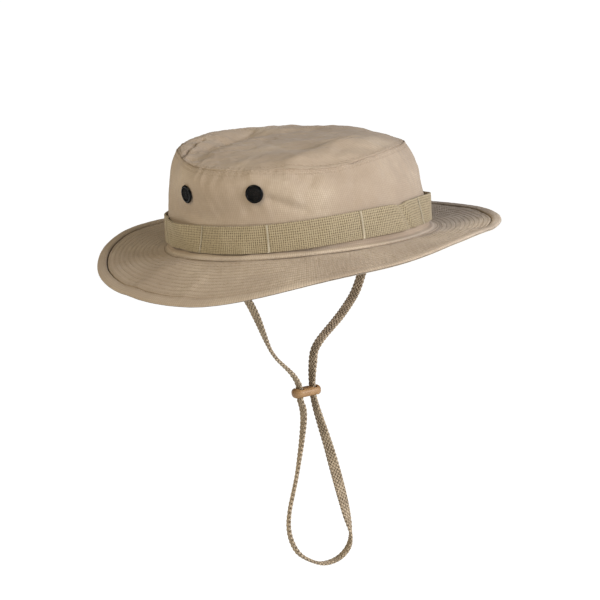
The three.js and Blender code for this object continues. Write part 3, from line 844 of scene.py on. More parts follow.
# Cotton thread: matt, twisted, close to the cloth's colour and a little lighter.
TWIST_STEP = 0.6 * MM  # the twist is finer, and is drawn at this size so that it shows
thread, tree, shader = new_material("khaki_cotton_thread")
place = add_node(tree, "ShaderNodeTexCoord")
twist = add_node(
    tree, "ShaderNodeTexNoise", {"Scale": 1 / TWIST_STEP, "Detail": 2}, {"Vector": place.outputs["Object"]}
)
thread_colour = add_node(tree, "ShaderNodeValToRGB", links={"Fac": twist.outputs["Fac"]})
set_ramp(thread_colour, ((0.3, "#9a8871"), (0.7, "#b3a189")))
tree.links.new(thread_colour.outputs["Color"], shader.inputs["Base Color"])
shader.inputs["Roughness"].default_value = 0.75
shader.inputs["Sheen Weight"].default_value = 0.2
brim_stitching.data.materials.append(thread)
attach(brim_stitching, "root")

# Crown side. One strip of cotton, bent out at its foot into a flange that is sewn on the brim.
# Its top edge is joined to the top panel in a seam with two rows of stitches, and it puckers there.
CLOTH = 1.5 * MM
# Height, and distance outside the head opening at the front and at the sides, in millimetres.
CROWN_RINGS = (
    (1.85, 9, 9),
    (1.92, 3.3, 3.3),
    (2.6, 2, 2),
    (4.5, 1.8, 1.8),
    (24.1, -0.3, 1.2),
    (45, -5.5, 3.4),
    (58, -10.5, 1.3),
    (65, -15, -3.5),
    (68.5, -22, -10),
    (71.5, -39, -27),
    (72.5, -69, -55),
    (72.5, -100, -83),
)
# Places on the profile, as shares of it: each is one of the rings above.
BAND_FOOT_SHARE = 3 / 11
BAND_TOP_SHARE = 4 / 11
VENT_SHARE = 5 / 11
SEAM_SHARE = 7 / 11
SEAM_SLIT = 0.0003  # half of the slit at the seam
# Angle, and how far the top seam is lifted there, in millimetres.
SEAM_RISES = (
    (-148, 6.3),
    (-125, 3.6),
    (-107, -1),
    (-90, -4),
    (-60, -5.7),
    (-32, -8.5),
    (-10, -5.5),
    (15, -3),
    (50, -3.2),
    (90, -0.5),
    (150, 10),
    (180, 10.5),
)
RISE_FOOT = 40 * MM  # the wall is lifted with the seam from this height up
RISE_END = 0.8  # share of the way to the middle of the top where the lift ends
TOP_STARTS = (SEAM_SHARE - 0.05, SEAM_SHARE + 0.12)  # the wall's dents give way to the top's folds here
# Long folds of the top: where they start and end in plan, half width and lift, in millimetres.
TOP_FOLDS = (
    (-64, 4, -30, -38, 14, -2.8),
    (-60, -52, 8, -66, 9, 3),
    (-62, 38, 20, 58, 11, -4.2),
    (-48, 20, 6, 28, 9, 1),
    (58, 52, 66, -10, 15, 2.5),
)
# Sharper creases of the top, with the same columns.
TOP_CREASES = (
    (-51, 49, 31, 61, 3.5, -1.2),
    (-54, 37, -38, 2, 4, -0.9),
    (-30, -38, 12, -60, 4, -0.7),
    (-64, 46, -44, 57, 1.7, -1.5),
    (-44, 57, -11, 74, 1.7, -1.5),
)
# Lines of painted shade on the top, where it is folded hard: where they start and end in plan, and strength.
TOP_SHADE_LINES = (
    (-64, 46, -44, 57, 1.5),
    (-44, 57, -11, 74, 1.3),
    (-51, 49, 31, 61, 0.5),
)
# Dents and bulges of the side: angle, height, spread in degrees, height of the dent and push.
SIDE_FOLDS = (
    (-128, 52, 12, 18, -2.5),
    (-140, 65, 22, 13, -2.6),
    (-92, 57, 28, 14, 2.4),
    (-20, 46, 14, 20, -1.8),
    (24, 52, 22, 20, -1.2),
    (70, 48, 16, 18, -1.6),
    (172, 46, 16, 20, -2),
)
# Creases of the side: angle and height of their two ends, half width and push.
SIDE_CREASES = (
    (-48.5, 53, -44, 48, 3.5, -1.4),
    (-41, 50, -36, 43, 4, -1.2),
    (-62, 39, -50, 30, 4, -1.5),
    (-70, 57, -63, 56, 2.5, 0.9),
    (-6, 61, -4.5, 46, 2, -0.6),
    (-63, 40, -63, 26, 1.6, -0.3),
    (-118, 34, -100, 28, 3, -0.6),
)
MM_IN_A_DEGREE = 1.45
# Angle, and how strongly the painted shade along the top seam shows there.
SEAM_SHOWS = (
    (-165, 0.9),
    (-126, 1.2),
    (-106, 1.1),
    (-92, 0.35),
    (-30, 0.25),
    (0, 0.45),
    (22, 1.1),
    (50, 1),
    (120, 0.6),
)
# Patches of painted shade on the side: angle, height, spread in degrees, height of the patch and strength.
SIDE_SHADE_PATCHES = (
    (-83, 46, 16, 15, 0.5),
    (-34, 50, 12, 9, 0.4),
    (-113, 31, 8, 9, 0.3),
)
# Waves of the wall, of the wall drawn out upwards, and of the gathered seam: height, length and seed.
WALL_SWELLS = ((0.5, 42, 21),)
WALL_WAVES = ((0.42, 17, 22), (0.2, 8, 25), (0.06, 4.5, 26))
SEAM_WAVES = ((0.3, 15, 23), (0.22, 6.5, 24))
WALL_STRETCH = np.array([1, 1, 0.5])  # draws the waves out upwards
WAVES_START = (24 * MM, 34 * MM)  # the wall is smooth behind the band and waves above it
# The cloth is gathered most on the wearer's right: the least, how much more, and the spread in degrees.
GATHER_LEAST = 0.6
GATHER_MORE = 0.8
GATHER_SPREAD = 32
SEAM_RIDGE = 0.55 * MM
SEAM_RIDGE_HALF = 2.2 * MM
SEAM_LINE_HALF = 0.7 * MM
SEAM_EDGE = 0.1 * MM  # the turned edge that shows through below the seam
SEAM_EDGE_ENDS = (4.8 * MM, 6.2 * MM)
SEAM_ROWS = (1.5 * MM, 4.1 * MM)  # rows of stitches, below the seam
SEAM_ROW_DEPTH = 0.25 * MM
SEAM_ROW_HALF = 0.6 * MM
PUCKER_REACH = 7 * MM
FLANGE_ROW = 1.6 * MM  # row of stitches, from the flange's edge
FLANGE_PRESSED = 0.95 * MM  # how far the flange is pressed flat
FLANGE_BEND = (4.5 * MM, 8.5 * MM)  # the flange turns up into the wall between these distances
PROFILE_SAMPLES = 2000
NORMAL_TURN = 0.5  # steps in degrees and in shares of the profile that give the face's direction
NORMAL_RISE = 0.004
seam_rise_mm = round_table(SEAM_RISES, 1)
seam_shows = round_table(SEAM_SHOWS, 1)
crown_rings = np.array([(side, front, z) for z, front, side in CROWN_RINGS]) * MM
flange_height, foot_height, band_top_height, seam_height = crown_rings[[0, 3, 4, 7], 2]


def ease(value, start, end):
    t = np.clip((value - start) / (end - start), 0, 1)
    return t * t * (3 - 2 * t)


def crown_at(angle, share):
    """A point of the crown's outside: share is 0 at the flange's edge and 1 at the middle of the top."""
    angle, share = np.broadcast_arrays(np.asarray(angle, float), np.asarray(share, float))
    rings_past = np.clip(share, 0, 1) * (len(crown_rings) - 1)
    side, front, z = np.moveaxis(smooth_line(crown_rings, rings_past), -1, 0)
    on_top = ease(share, *TOP_STARTS)
    push = np.zeros_like(z)
    for fold_angle, height, spread, tall, depth in SIDE_FOLDS:
        push += depth * MM * bell(turn_from(angle, fold_angle), spread) * bell(z - height * MM, tall * MM)
    push *= (1 - on_top) * ease(z, foot_height, band_top_height)
    push -= flange_trim(angle) * np.clip(1 - rings_past, 0, 1)
    point = oval_point(angle, front + push, side + push, z)
    on_flange = 1 - ease(z, flange_height, foot_height)
    inward = (share - SEAM_SHARE) / (1 - SEAM_SHARE)
    wall_rise = ease(z, RISE_FOOT, seam_height)
    rise_share = np.where(share <= SEAM_SHARE, wall_rise, 1 - ease(inward, 0, RISE_END))
    lift = np.zeros_like(z)
    plan = point[..., :2] / MM
    for x1, y1, x2, y2, width, height in (*TOP_FOLDS, *TOP_CREASES):
        lift += height * MM * bell(past_line(plan, (x1, y1), (x2, y2)), width)
    point[..., 2] += brim_height(angle, side) * on_flange
    point[..., 2] += seam_rise_mm(angle) * MM * rise_share + lift * on_top
    return point


def crown_normal(angle, share):
    """Outward direction of the crown's face."""
    round_step = crown_at(angle + NORMAL_TURN, share) - crown_at(angle - NORMAL_TURN, share)
    up_share = np.minimum(share + NORMAL_RISE, 0.999)
    up_step = crown_at(angle, up_share) - crown_at(angle, share - NORMAL_RISE)
    return unit(np.cross(round_step, up_step))


profile_shares = np.linspace(0, 1, PROFILE_SAMPLES)
profile_run = run_of(smooth_line(crown_rings, profile_shares * (len(crown_rings) - 1)))
seam_run = float(np.interp(SEAM_SHARE, profile_shares, profile_run))


def run_at(share):
    """Length along the profile at a share of it."""
    return np.interp(share, profile_shares, profile_run)


def seam_pucker(angle, past):
    """Puckers and a low ridge on both sides of the seam. They are strongest on the wearer's right."""
    spot = oval_point(angle, 0.0, 0.0, 0.0)
    gather = GATHER_LEAST + GATHER_MORE * bell(turn_from(angle, -90), GATHER_SPREAD)
    ridge = SEAM_RIDGE * bell(past, SEAM_RIDGE_HALF)
    return gather * cloth_waves(spot, SEAM_WAVES) * bell(past, PUCKER_REACH) + ridge


def side_relief(angle, share):
    """How far the side wall's face stands out: soft waves, puckers at the seam and grooves of stitches."""
    spot = crown_at(angle, share)
    from_edge = run_at(share)
    below_seam = seam_run - from_edge
    relief = cloth_waves(spot, WALL_SWELLS) + cloth_waves(spot * WALL_STRETCH, WALL_WAVES)
    relief *= ease(spot[..., 2], *WAVES_START)
    for angle1, height1, angle2, height2, width, push in SIDE_CREASES:
        turned = turn_from(angle, angle1) + angle1
        wall_spot = np.stack([turned * MM_IN_A_DEGREE, spot[..., 2] / MM], axis=-1)
        past = past_line(wall_spot, (angle1 * MM_IN_A_DEGREE, height1), (angle2 * MM_IN_A_DEGREE, height2))
        relief += push * MM * bell(past, width)
    relief += seam_pucker(angle, below_seam)
    relief += SEAM_EDGE * (1 - ease(below_seam, *SEAM_EDGE_ENDS))
    for row in SEAM_ROWS:
        relief -= SEAM_ROW_DEPTH * bell(below_seam - row, SEAM_ROW_HALF)
    relief -= FLANGE_PRESSED * (1 - ease(from_edge, *FLANGE_BEND))
    relief -= STITCH_DEPTH * bell(from_edge - FLANGE_ROW, GROOVE_HALF)
    return relief


# The wall's mesh goes up its outside, from close rows at the flange's edge, and down its inside.
SIDE_COLUMNS = 560
SIDE_OUT_STEPS = 90
SIDE_IN_STEPS = 36
EDGE_ROWS = np.array([0, 0.12, 0.45]) * MM
SIDE_THREADS = 600 * MM  # length of the thread lines round the wall
# Painted shade in the rows of stitches and along the seam, and painted light on the flange.
SEAM_ROW_SHADE = 0.2
FLANGE_ROW_SHADE = 0.3
SEAM_LINE_SHADE = 0.9
SEAM_SIDE_SHADE = 0.4
FLANGE_PAINTED_LIGHT = 0.5
FRONT_PAINTED_LIGHT = 0.7  # more at the front
FRONT_SPREAD = 50
FLANGE_LIGHT_STARTS = (0.1 * MM, 0.6 * MM)
FLANGE_LIGHT_ENDS = (5.5 * MM, 8 * MM)
side_step_count = SIDE_OUT_STEPS + SIDE_IN_STEPS + 2
side, side_turn, side_run = grid_blank("crown_side_panel", SIDE_COLUMNS, side_step_count)
side_steps = np.round(side_run * side_step_count).astype(int)
side_rows = np.concatenate(
    [
        EDGE_ROWS,
        np.linspace(1 * MM, seam_run, SIDE_OUT_STEPS - 2),
        np.linspace(seam_run, 0, SIDE_IN_STEPS + 1),
        [0],
    ]
)
side_shares = np.interp(side_rows, profile_run, profile_shares)
side_shares = np.minimum(side_shares, SEAM_SHARE - SEAM_SLIT)
side_depths = np.concatenate([np.zeros(SIDE_OUT_STEPS + 1), np.ones(SIDE_IN_STEPS + 1), [0]])
side_angle = np.mod(side_turn, 1) * 360
side_share = side_shares[side_steps]
side_out = crown_normal(side_angle, np.maximum(side_share, 0.005))
side_points = crown_at(side_angle, side_share)
side_thick = CLOTH - FLANGE_PRESSED * (1 - ease(side_rows, *FLANGE_BEND))
side_push = side_relief(side_angle, side_share) - (side_depths * side_thick)[side_steps]
side_points = side_points + side_out * side_push[:, None]
side_line = run_of(np.stack([side_rows, side_depths * CLOTH], axis=1))
side_below = seam_run - side_rows
seam_rows = sum(bell(side_below - row, SEAM_ROW_HALF) for row in SEAM_ROWS)
flange_row = bell(side_rows - FLANGE_ROW, GROOVE_HALF)
seam_line = bell(side_below, SEAM_LINE_HALF)
# Painted shade in the rows of stitches and along the top seam.
side_painted_shading = SEAM_ROW_SHADE * seam_rows[side_steps] + FLANGE_ROW_SHADE * flange_row[side_steps]
side_painted_shading += (SEAM_LINE_SHADE * seam_line + SEAM_SIDE_SHADE * seam_rows)[side_steps] * seam_shows(side_angle)
# Painted light makes the flange paler, most at the front.
flange_face = ease(side_rows, *FLANGE_LIGHT_STARTS) * (1 - ease(side_rows, *FLANGE_LIGHT_ENDS))
flange_painted_light = FLANGE_PAINTED_LIGHT + FRONT_PAINTED_LIGHT * bell(turn_from(side_angle, -5), FRONT_SPREAD)
side_painted_shading -= flange_painted_light * flange_face[side_steps]
# Patches of painted shade on the wall.
for angle, height, spread, tall, strength in SIDE_SHADE_PATCHES:
    patch = bell(turn_from(side_angle, angle), spread) * bell(side_points[:, 2] / MM - height, tall)
    side_painted_shading += strength * patch
form_cloth(side, side_points, SIDE_THREADS, side_line, side_painted_shading)
side.data.materials.append(cotton)

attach(side, "root")
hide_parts("crown_side")

# Crown stitching. Two rows of thread below the top seam and one along the flange.
# They hold the seam's folded edges flat, and the flange to the brim.
def crown_stitch_row(run, relief):
    """A row of stitches round the crown, at a length along its profile and on the relief of its cloth."""
    share = np.full_like(ring_angles, float(np.interp(run, profile_run, profile_shares)))
    out = crown_normal(ring_angles, share)
    return sew(crown_at(ring_angles, share) + out * relief(ring_angles, share)[:, None], out)


crown_runs = (*(seam_run - row for row in SEAM_ROWS), FLANGE_ROW)
crown_stitching = make_stitches("crown_stitching", [crown_stitch_row(run, side_relief) for run in crown_runs])
crown_stitching.data.materials.append(thread)
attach(crown_stitching, "root")

# Crown top. A slack oval panel of the same cotton, sewn to the side all round.
# It sags into long soft folds, with short puckers that run in from the seam and hard creases at the back.
# A row of thread inside the seam holds its turned edge down.
TOP_STEPS = 150
TOP_THREADS = 170 * MM  # length of the thread lines across the top
SLACK_HEADING = np.array([0.63, -0.78])  # the slack of the top lies in long wrinkles this way
SLACK_STRETCH = 0.2
# Waves of the top, and of its slack: height, length and seed.
TOP_WAVES = ((0.4, 38, 31), (0.14, 15, 32))
SLACK_WAVES = ((0.55, 20, 35), (0.14, 7, 36))
SLACK_START = 14 * MM  # the waves come in over this distance from the seam
# Hard creases, strongest at the back right: height, share elsewhere, angle, spread and run-in from the seam.
HARD_FOLD = 0.75 * MM
HARD_ELSEWHERE = 0.35
HARD_ANGLE = -152
HARD_SPREAD = 42
HARD_START = 9 * MM
TOP_EDGE = 0.2 * MM  # the turned edge that shows through inside the seam
TOP_EDGE_ENDS = (4.4 * MM, 5.8 * MM)
TOP_ROW = 3.4 * MM  # row of stitches, inside the seam
TOP_ROW_SHADE = 0.4
TOP_MARK_HALF = 0.8 * MM
TOP_MIDDLE = 0.985  # past this share of the profile the top is taken as level

top, top_x, top_y = grid_blank("crown_top_panel", TOP_STEPS, TOP_STEPS)
square_x = top_x * 2 - 1
square_y = top_y * 2 - 1
disc_x = square_x * np.sqrt(1 - square_y**2 / 2)
disc_y = square_y * np.sqrt(1 - square_x**2 / 2)
top_out = np.clip(np.hypot(disc_x, disc_y), 0, 1)
top_angle = np.degrees(np.arctan2(disc_x, -disc_y))
top_run = seam_run + (profile_run[-1] - seam_run) * (1 - top_out)
top_share = np.maximum(np.interp(top_run, profile_run, profile_shares), SEAM_SHARE + SEAM_SLIT)


def top_relief(angle, share):
    """How far the top's face stands up: slack waves, hard creases, and puckers and an edge at the seam."""
    spot = crown_at(angle, share)
    past_seam = run_at(share) - seam_run
    along = spot[..., :2] @ SLACK_HEADING
    across = spot[..., :2] @ np.array([-SLACK_HEADING[1], SLACK_HEADING[0]])
    slack_spot = np.stack([along * SLACK_STRETCH, across, np.zeros_like(along)], axis=-1)
    relief = cloth_waves(spot, TOP_WAVES) + cloth_waves(slack_spot, SLACK_WAVES)
    relief *= ease(past_seam, 0, SLACK_START)
    back_corner = HARD_ELSEWHERE + (1 - HARD_ELSEWHERE) * bell(turn_from(angle, HARD_ANGLE), HARD_SPREAD)
    hard_folds = 0.5 - np.abs(soft_noise(spot, 19 * MM, 37)) - 0.5 * np.abs(soft_noise(spot, 9 * MM, 38))
    relief += HARD_FOLD * hard_folds * back_corner * ease(past_seam, 0, HARD_START)
    relief += seam_pucker(angle, past_seam)
    relief += TOP_EDGE * (1 - ease(past_seam, *TOP_EDGE_ENDS))
    relief -= SEAM_ROW_DEPTH * bell(past_seam - TOP_ROW, SEAM_ROW_HALF)
    return relief


top_points = crown_at(top_angle, top_share)
top_normal = crown_normal(top_angle, np.minimum(top_share, TOP_MIDDLE))
top_normal[top_share > TOP_MIDDLE] = (0, 0, 1)
top_points = top_points + top_normal * top_relief(top_angle, top_share)[:, None]
past_seam = run_at(top_share) - seam_run
# Painted shade along the row of stitches, along the seam and in the hard folds of the top.
top_painted_shading = TOP_ROW_SHADE * bell(past_seam - TOP_ROW, TOP_MARK_HALF)
top_painted_shading += SEAM_LINE_SHADE * bell(past_seam, TOP_MARK_HALF) * seam_shows(top_angle)
for x1, y1, x2, y2, strength in TOP_SHADE_LINES:
    past = past_line(top_points[:, :2] / MM, (x1, y1), (x2, y2))
    top_painted_shading += strength * bell(past, 1)
form_cloth(top, top_points, TOP_THREADS, np.array([0, TOP_THREADS]), top_painted_shading)
apply_modifier(top, "SOLIDIFY", thickness=CLOTH, offset=-1)
bpy.ops.object.shade_smooth()
top.data.materials.append(cotton)

top_stitching = make_stitches("top_stitching", [crown_stitch_row(seam_run + TOP_ROW, top_relief)])
top_stitching.data.materials.append(thread)

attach(top, "root")
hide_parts("crown_top")
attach(top_stitching, "root")

# Loop band. Cotton webbing 20 mm wide round the foot of the crown, woven in a coarse grid.
# It is tacked down by ten upright bars and stands off in loops between them.
WEBBING = 1.4 * MM
GAP = 0.35 * MM  # from the crown to the back of the band
BAND_HEIGHT = 19.6 * MM
BAND_WAVES = ((0.35, 15, 41),)  # height, length and seed
WEB_CELL = 1.5 * MM
WEB_RELIEF = 0.28 * MM
WEB_FIBRE = 0.8 * MM  # fibres are finer, and are drawn at this size so that they show
# Angle of a bar, its lift, how far the loop after it stands off at its top and foot, and how far
# that loop's foot is lifted, in millimetres.
BAND_TACKS = (
    (-136, 0.7, 3.4, 1.6, 0.8),
    (-100, -1.7, 0.8, 1, 0),
    (-67, -1.8, 0.6, 1, 0),
    (-26, 1.5, 2.2, 2.2, 0),
    (13, 2.3, 3.2, 1, 0.5),
    (54, -0.7, 1.6, 1.4, 0),
    (90, 0.9, 1, 1, 0),
    (122, 0.9, 1.4, 1.2, 0),
    (155, 0.9, 1.6, 1.4, 0),
    (190, 0.9, 2, 1.8, 0),
)
# A kink in the loop before the front bar: angle at its top and foot, half width in degrees, dent and dip.
KINK_TOP = -4
KINK_FOOT = 1.5
KINK_SPREAD = 1.8
KINK_DENT = 2.2 * MM
KINK_DIP = 1.8 * MM
band_lift_mm = round_table(BAND_TACKS, 1)


def loop_swell(angle, column):
    """A column of the band's table, swelling from nothing at a bar to all of it in the middle of a loop."""
    swell = np.zeros_like(angle)
    for tack, after in zip(BAND_TACKS, (*BAND_TACKS[1:], BAND_TACKS[0])):
        loop = (after[0] - tack[0]) % 360
        past = np.mod(angle - tack[0], 360)
        share = np.abs(np.sin(math.pi * np.minimum(past, loop) / loop)) ** 1.5
        swell = np.where(past <= loop, tack[column] * MM * share, swell)
    return swell


def band_face(angle, up, depth):
    """A point of the band: up is 0 at its foot and 1 at its top, depth is from its back."""
    point = crown_at(angle, BAND_FOOT_SHARE + (BAND_TOP_SHARE - BAND_FOOT_SHARE) * up)
    outward = unit(point * np.array([1, 1, 0]))
    past_kink = turn_from(angle, KINK_FOOT + (KINK_TOP - KINK_FOOT) * up)
    puff = loop_swell(angle, 3) + (loop_swell(angle, 2) - loop_swell(angle, 3)) * up
    puff += cloth_waves(point, BAND_WAVES) - KINK_DENT * bell(past_kink, KINK_SPREAD)
    point[..., 2] += band_lift_mm(angle) * MM + loop_swell(angle, 4) * (1 - up)
    point[..., 2] -= KINK_DIP * up * bell(past_kink, 2 * KINK_SPREAD)
    return point + outward * (GAP + np.maximum(puff, 0) + depth)[..., None]


WEB_CELLS_HIGH = 13
WEB_CELLS_ROUND = 392
band_front = 2 * WEB_CELLS_HIGH
band_back = WEB_CELLS_HIGH
band_step_count = band_front + band_back + 2
band, band_turn, band_run = grid_blank("webbing_loop_band", 2 * WEB_CELLS_ROUND, band_step_count)
band_steps = np.round(band_run * band_step_count).astype(int)
band_ups = np.concatenate([np.linspace(0, 1, band_front + 1), np.linspace(1, 0, band_back + 1), [0]])
band_fronts = np.concatenate([np.ones(band_front + 1), np.zeros(band_back + 1), [1]])
band_column = np.round(band_turn * 2 * WEB_CELLS_ROUND).astype(int)
band_angle = np.mod(band_turn, 1) * 360
weave_round = np.cos(math.pi * band_column)
weave_up = np.where(band_steps <= band_front, np.cos(math.pi * band_steps), 0)
weave_rise = -WEB_RELIEF * (weave_round + weave_up) / 2
inside_edge = (band_steps > 0) & (band_steps < band_front)
band_depth = band_fronts[band_steps] * (WEBBING - WEB_RELIEF) + weave_rise * inside_edge
band_points = band_face(band_angle, band_ups[band_steps], band_depth)
band_line = run_of(np.stack([band_ups * BAND_HEIGHT, band_fronts * WEBBING], axis=1))
form_cloth(band, band_points, WEB_CELLS_ROUND * WEB_CELL, band_line, np.zeros_like(band_angle))

# Cotton webbing: coarse matt plain weave, greener than the cloth, with painted shade in the pin holes between
# its threads.
webbing, tree, shader = new_material("khaki_cotton_webbing")
lines = add_node(tree, "ShaderNodeUVMap", {"uv_map": "thread_lines"})
place = add_node(tree, "ShaderNodeTexCoord")
web_weave = {"Scale": WAVE_TURNS / WEB_CELL, "Distortion": 0.4, "Detail Scale": 0.5}
along_lines = {"Vector": lines.outputs["UV"]}
upright, level = (
    add_node(tree, "ShaderNodeTexWave", {"bands_direction": way, **web_weave}, along_lines)
    for way in ("X", "Y")
)
# Painted shade in the pin holes where the threads cross.
pin_hole_shade = add_node(
    tree,
    "ShaderNodeMath",
    {"operation": "MULTIPLY_ADD", 1: 1.5},
    {0: upright.outputs["Fac"], 2: level.outputs["Fac"]},
)
fibre = add_node(
    tree, "ShaderNodeTexNoise", {"Scale": 1 / WEB_FIBRE, "Detail": 4}, {"Vector": place.outputs["Object"]}
)
web_mix = add_node(
    tree,
    "ShaderNodeMath",
    {"operation": "MULTIPLY_ADD", 1: 0.3},
    {0: pin_hole_shade.outputs["Value"], 2: fibre.outputs["Fac"]},
)
web_colour = add_node(tree, "ShaderNodeValToRGB", links={"Fac": web_mix.outputs["Value"]})
set_ramp(web_colour, ((0.5, "#5c503a"), (0.85, "#998969"), (1.0, "#ad9e7f")))
web_bump = add_node(
    tree, "ShaderNodeBump", {"Strength": 0.5, "Distance": 0.15 * MM}, {"Height": web_mix.outputs["Value"]}
)
tree.links.new(web_colour.outputs["Color"], shader.inputs["Base Color"])
tree.links.new(web_bump.outputs["Normal"], shader.inputs["Normal"])
shader.inputs["Roughness"].default_value = 0.86
shader.inputs["Sheen Weight"].default_value = 0.15
band.data.materials.append(webbing)

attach(band, "root")
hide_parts("loop_band")

# Tack bars. Dense bars of pale thread that hold the band to the crown, each a row of crosswise stitches.
# Two of them are thin and were sewn aslant.
BAR_SLANT = 0.4  # degrees from foot to top
ASLANT = {-100: 3, 13: -2.2}  # angle of a thin bar, and its slant
BAR_HALF = 0.85 * MM
THIN_BAR_HALF = 0.35 * MM
BAR_STITCHES = 34
BAR_THREAD_HALF = 0.32 * MM
BAR_PROUD = 0.1 * MM  # how far the thread's middle stands off the webbing
bar_up = np.linspace(0.02, 0.98, BAR_STITCHES)
bar_depth = np.full_like(bar_up, WEBBING + BAR_PROUD)
tilt = np.array([0, 0, 0.25 * MM])
bar_rows = []
for tack in BAND_TACKS:
    bar_angle = tack[0] + ASLANT.get(tack[0], BAR_SLANT) * (bar_up - 0.5)
    bar_half = THIN_BAR_HALF if tack[0] in ASLANT else BAR_HALF
    bar_line = band_face(bar_angle, bar_up, bar_depth)
    bar_out = unit(bar_line * np.array([1, 1, 0]))
    bar_side = np.stack([-bar_out[:, 1], bar_out[:, 0], np.zeros(BAR_STITCHES)], axis=1)
    for spot, out, across in zip(bar_line, bar_out, bar_side):
        ends = np.array([spot - across * bar_half - tilt, spot + across * bar_half + tilt])
        length = np.linalg.norm(ends[1] - ends[0])
        outs = np.array([out, out])
        bar_rows.append(sew(ends, outs, length * 0.999, length, BAR_THREAD_HALF, closed=False))
tack_bars = make_stitches("tack_bars", bar_rows)

# Bar thread: cotton left paler than the webbing under it.
pale_thread, tree, shader = new_material("pale_cotton_thread")
place = add_node(tree, "ShaderNodeTexCoord")
twist = add_node(
    tree, "ShaderNodeTexNoise", {"Scale": 1 / TWIST_STEP, "Detail": 2}, {"Vector": place.outputs["Object"]}
)
pale_colour = add_node(tree, "ShaderNodeValToRGB", links={"Fac": twist.outputs["Fac"]})
set_ramp(pale_colour, ((0.3, "#b3a68b"), (0.7, "#cbbfa4")))
tree.links.new(pale_colour.outputs["Color"], shader.inputs["Base Color"])
shader.inputs["Roughness"].default_value = 0.7
shader.inputs["Sheen Weight"].default_value = 0.2
tack_bars.data.materials.append(pale_thread)
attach(tack_bars, "root")

# Vents. Black enamelled eyelets pressed through the crown, two on each side, with a woven screen.
# Each has a domed rim outside and a flat washer that is clenched over it inside.
VENT_ANGLES = {
    "vent_right_front": -69,
    "vent_right_rear": -107,
    "vent_left_front": 69,
    "vent_left_rear": 107,
}
VENT_STEPS = 48
# Section of the rim, the barrel and the washer: radius and height above the cloth, in millimetres.
VENT_SECTION = (
    (6.6, 0.35),
    (6.62, 0.6),
    (6.45, 0.95),
    (6.1, 1.22),
    (5.65, 1.4),
    (5.2, 1.45),
    (4.85, 1.32),
    (4.65, 1.05),
    (4.6, 0.6),
    (4.6, -0.8),
    (4.6, -2.2),
    (4.65, -3.1),
    (4.9, -3.3),
    (5.6, -3.3),
    (6.0, -3.2),
    (6.1, -2.95),
    (6.0, -2.65),
    (5.3, -2.6),
    (5.0, -2.4),
    (5.0, -0.6),
    (5.0, 0.2),
    (5.2, 0.35),
)
WIRE_HALF = 0.26 * MM
WIRE_STEP = 0.6 * MM
WIRE_SIDES = 6
WIRE_ROWS = 25
WIRE_WAVE = 0.13 * MM  # how far a wire rises over the ones that it crosses
VENT_BORE = 4.7 * MM
SCREEN_HEIGHT = 0.55 * MM
SCREEN_DOME = 0.35 * MM
DRILL_RADIUS = 5.2 * MM
DRILL_LENGTH = 14 * MM

bpy.ops.object.select_all(action="DESELECT")
bpy.ops.mesh.primitive_torus_add(
    major_segments=VENT_STEPS, minor_segments=len(VENT_SECTION), major_radius=0.006, minor_radius=0.001
)
eyelet = bpy.context.object
section = np.array(VENT_SECTION) * MM
turns = np.linspace(0, 2 * math.pi, VENT_STEPS, endpoint=False)
eyelet_points = np.stack(
    [
        np.cos(turns)[:, None] * section[:, 0],
        np.sin(turns)[:, None] * section[:, 0],
        np.broadcast_to(section[:, 1], (VENT_STEPS, len(section))),
    ],
    axis=-1,
)
eyelet.data.vertices.foreach_set("co", eyelet_points.reshape(-1))
bpy.ops.object.shade_smooth()

wire_turns = np.linspace(0, 2 * math.pi, WIRE_SIDES, endpoint=False)
wire_rings = []
wire_count = int(VENT_BORE / WIRE_STEP)
for across in (0, 1):
    for wire in range(-wire_count, wire_count + 1):
        offset = wire * WIRE_STEP
        half = math.sqrt(VENT_BORE**2 - offset**2)
        along = np.linspace(-half, half, WIRE_ROWS)
        dome = SCREEN_HEIGHT + SCREEN_DOME * (1 - (along**2 + offset**2) / VENT_BORE**2)
        wave = WIRE_WAVE * np.cos(math.pi * (along / WIRE_STEP + wire + across))
        flat = [along, np.full_like(along, offset)]
        middle = np.stack([flat[across], flat[1 - across], dome + wave], axis=-1)
        sideways = np.array([0, 1.0, 0]) if across == 0 else np.array([1.0, 0, 0])
        ring = middle[:, None] + sideways * (WIRE_HALF * np.cos(wire_turns))[None, :, None]
        ring[:, :, 2] += WIRE_HALF * np.sin(wire_turns)
        wire_rings.append(ring)
wire_size = WIRE_ROWS * WIRE_SIDES
wire_faces = [f for w in range(len(wire_rings)) for f in tube_faces(WIRE_ROWS, WIRE_SIDES, w * wire_size)]
screen = make_piece("screen", np.array(wire_rings), wire_faces)

# Black enamel on brass: half gloss and deep black, with a fine orange-peel skin.
PEEL_SIZE = 0.6 * MM
enamel, tree, shader = new_material("black_enamel_on_brass")
place = add_node(tree, "ShaderNodeTexCoord")
peel = add_node(
    tree, "ShaderNodeTexNoise", {"Scale": 1 / PEEL_SIZE, "Detail": 3}, {"Vector": place.outputs["Object"]}
)
enamel_colour = add_node(tree, "ShaderNodeValToRGB", links={"Fac": peel.outputs["Fac"]})
set_ramp(enamel_colour, ((0.35, "#020202"), (0.75, "#070708")))
enamel_gloss = add_node(
    tree,
    "ShaderNodeMapRange",
    {"From Min": 0.3, "From Max": 0.7, "To Min": 0.2, "To Max": 0.3},
    {"Value": peel.outputs["Fac"]},
)
peel_bump = add_node(
    tree, "ShaderNodeBump", {"Strength": 0.12, "Distance": 0.05 * MM}, {"Height": peel.outputs["Fac"]}
)
tree.links.new(enamel_colour.outputs["Color"], shader.inputs["Base Color"])
tree.links.new(enamel_gloss.outputs["Result"], shader.inputs["Roughness"])
tree.links.new(peel_bump.outputs["Normal"], shader.inputs["Normal"])
shader.inputs["Specular IOR Level"].default_value = 0.14
eyelet.data.materials.append(enamel)
screen.data.materials.append(enamel)

pick(eyelet)
screen.select_set(True)
bpy.ops.object.join()

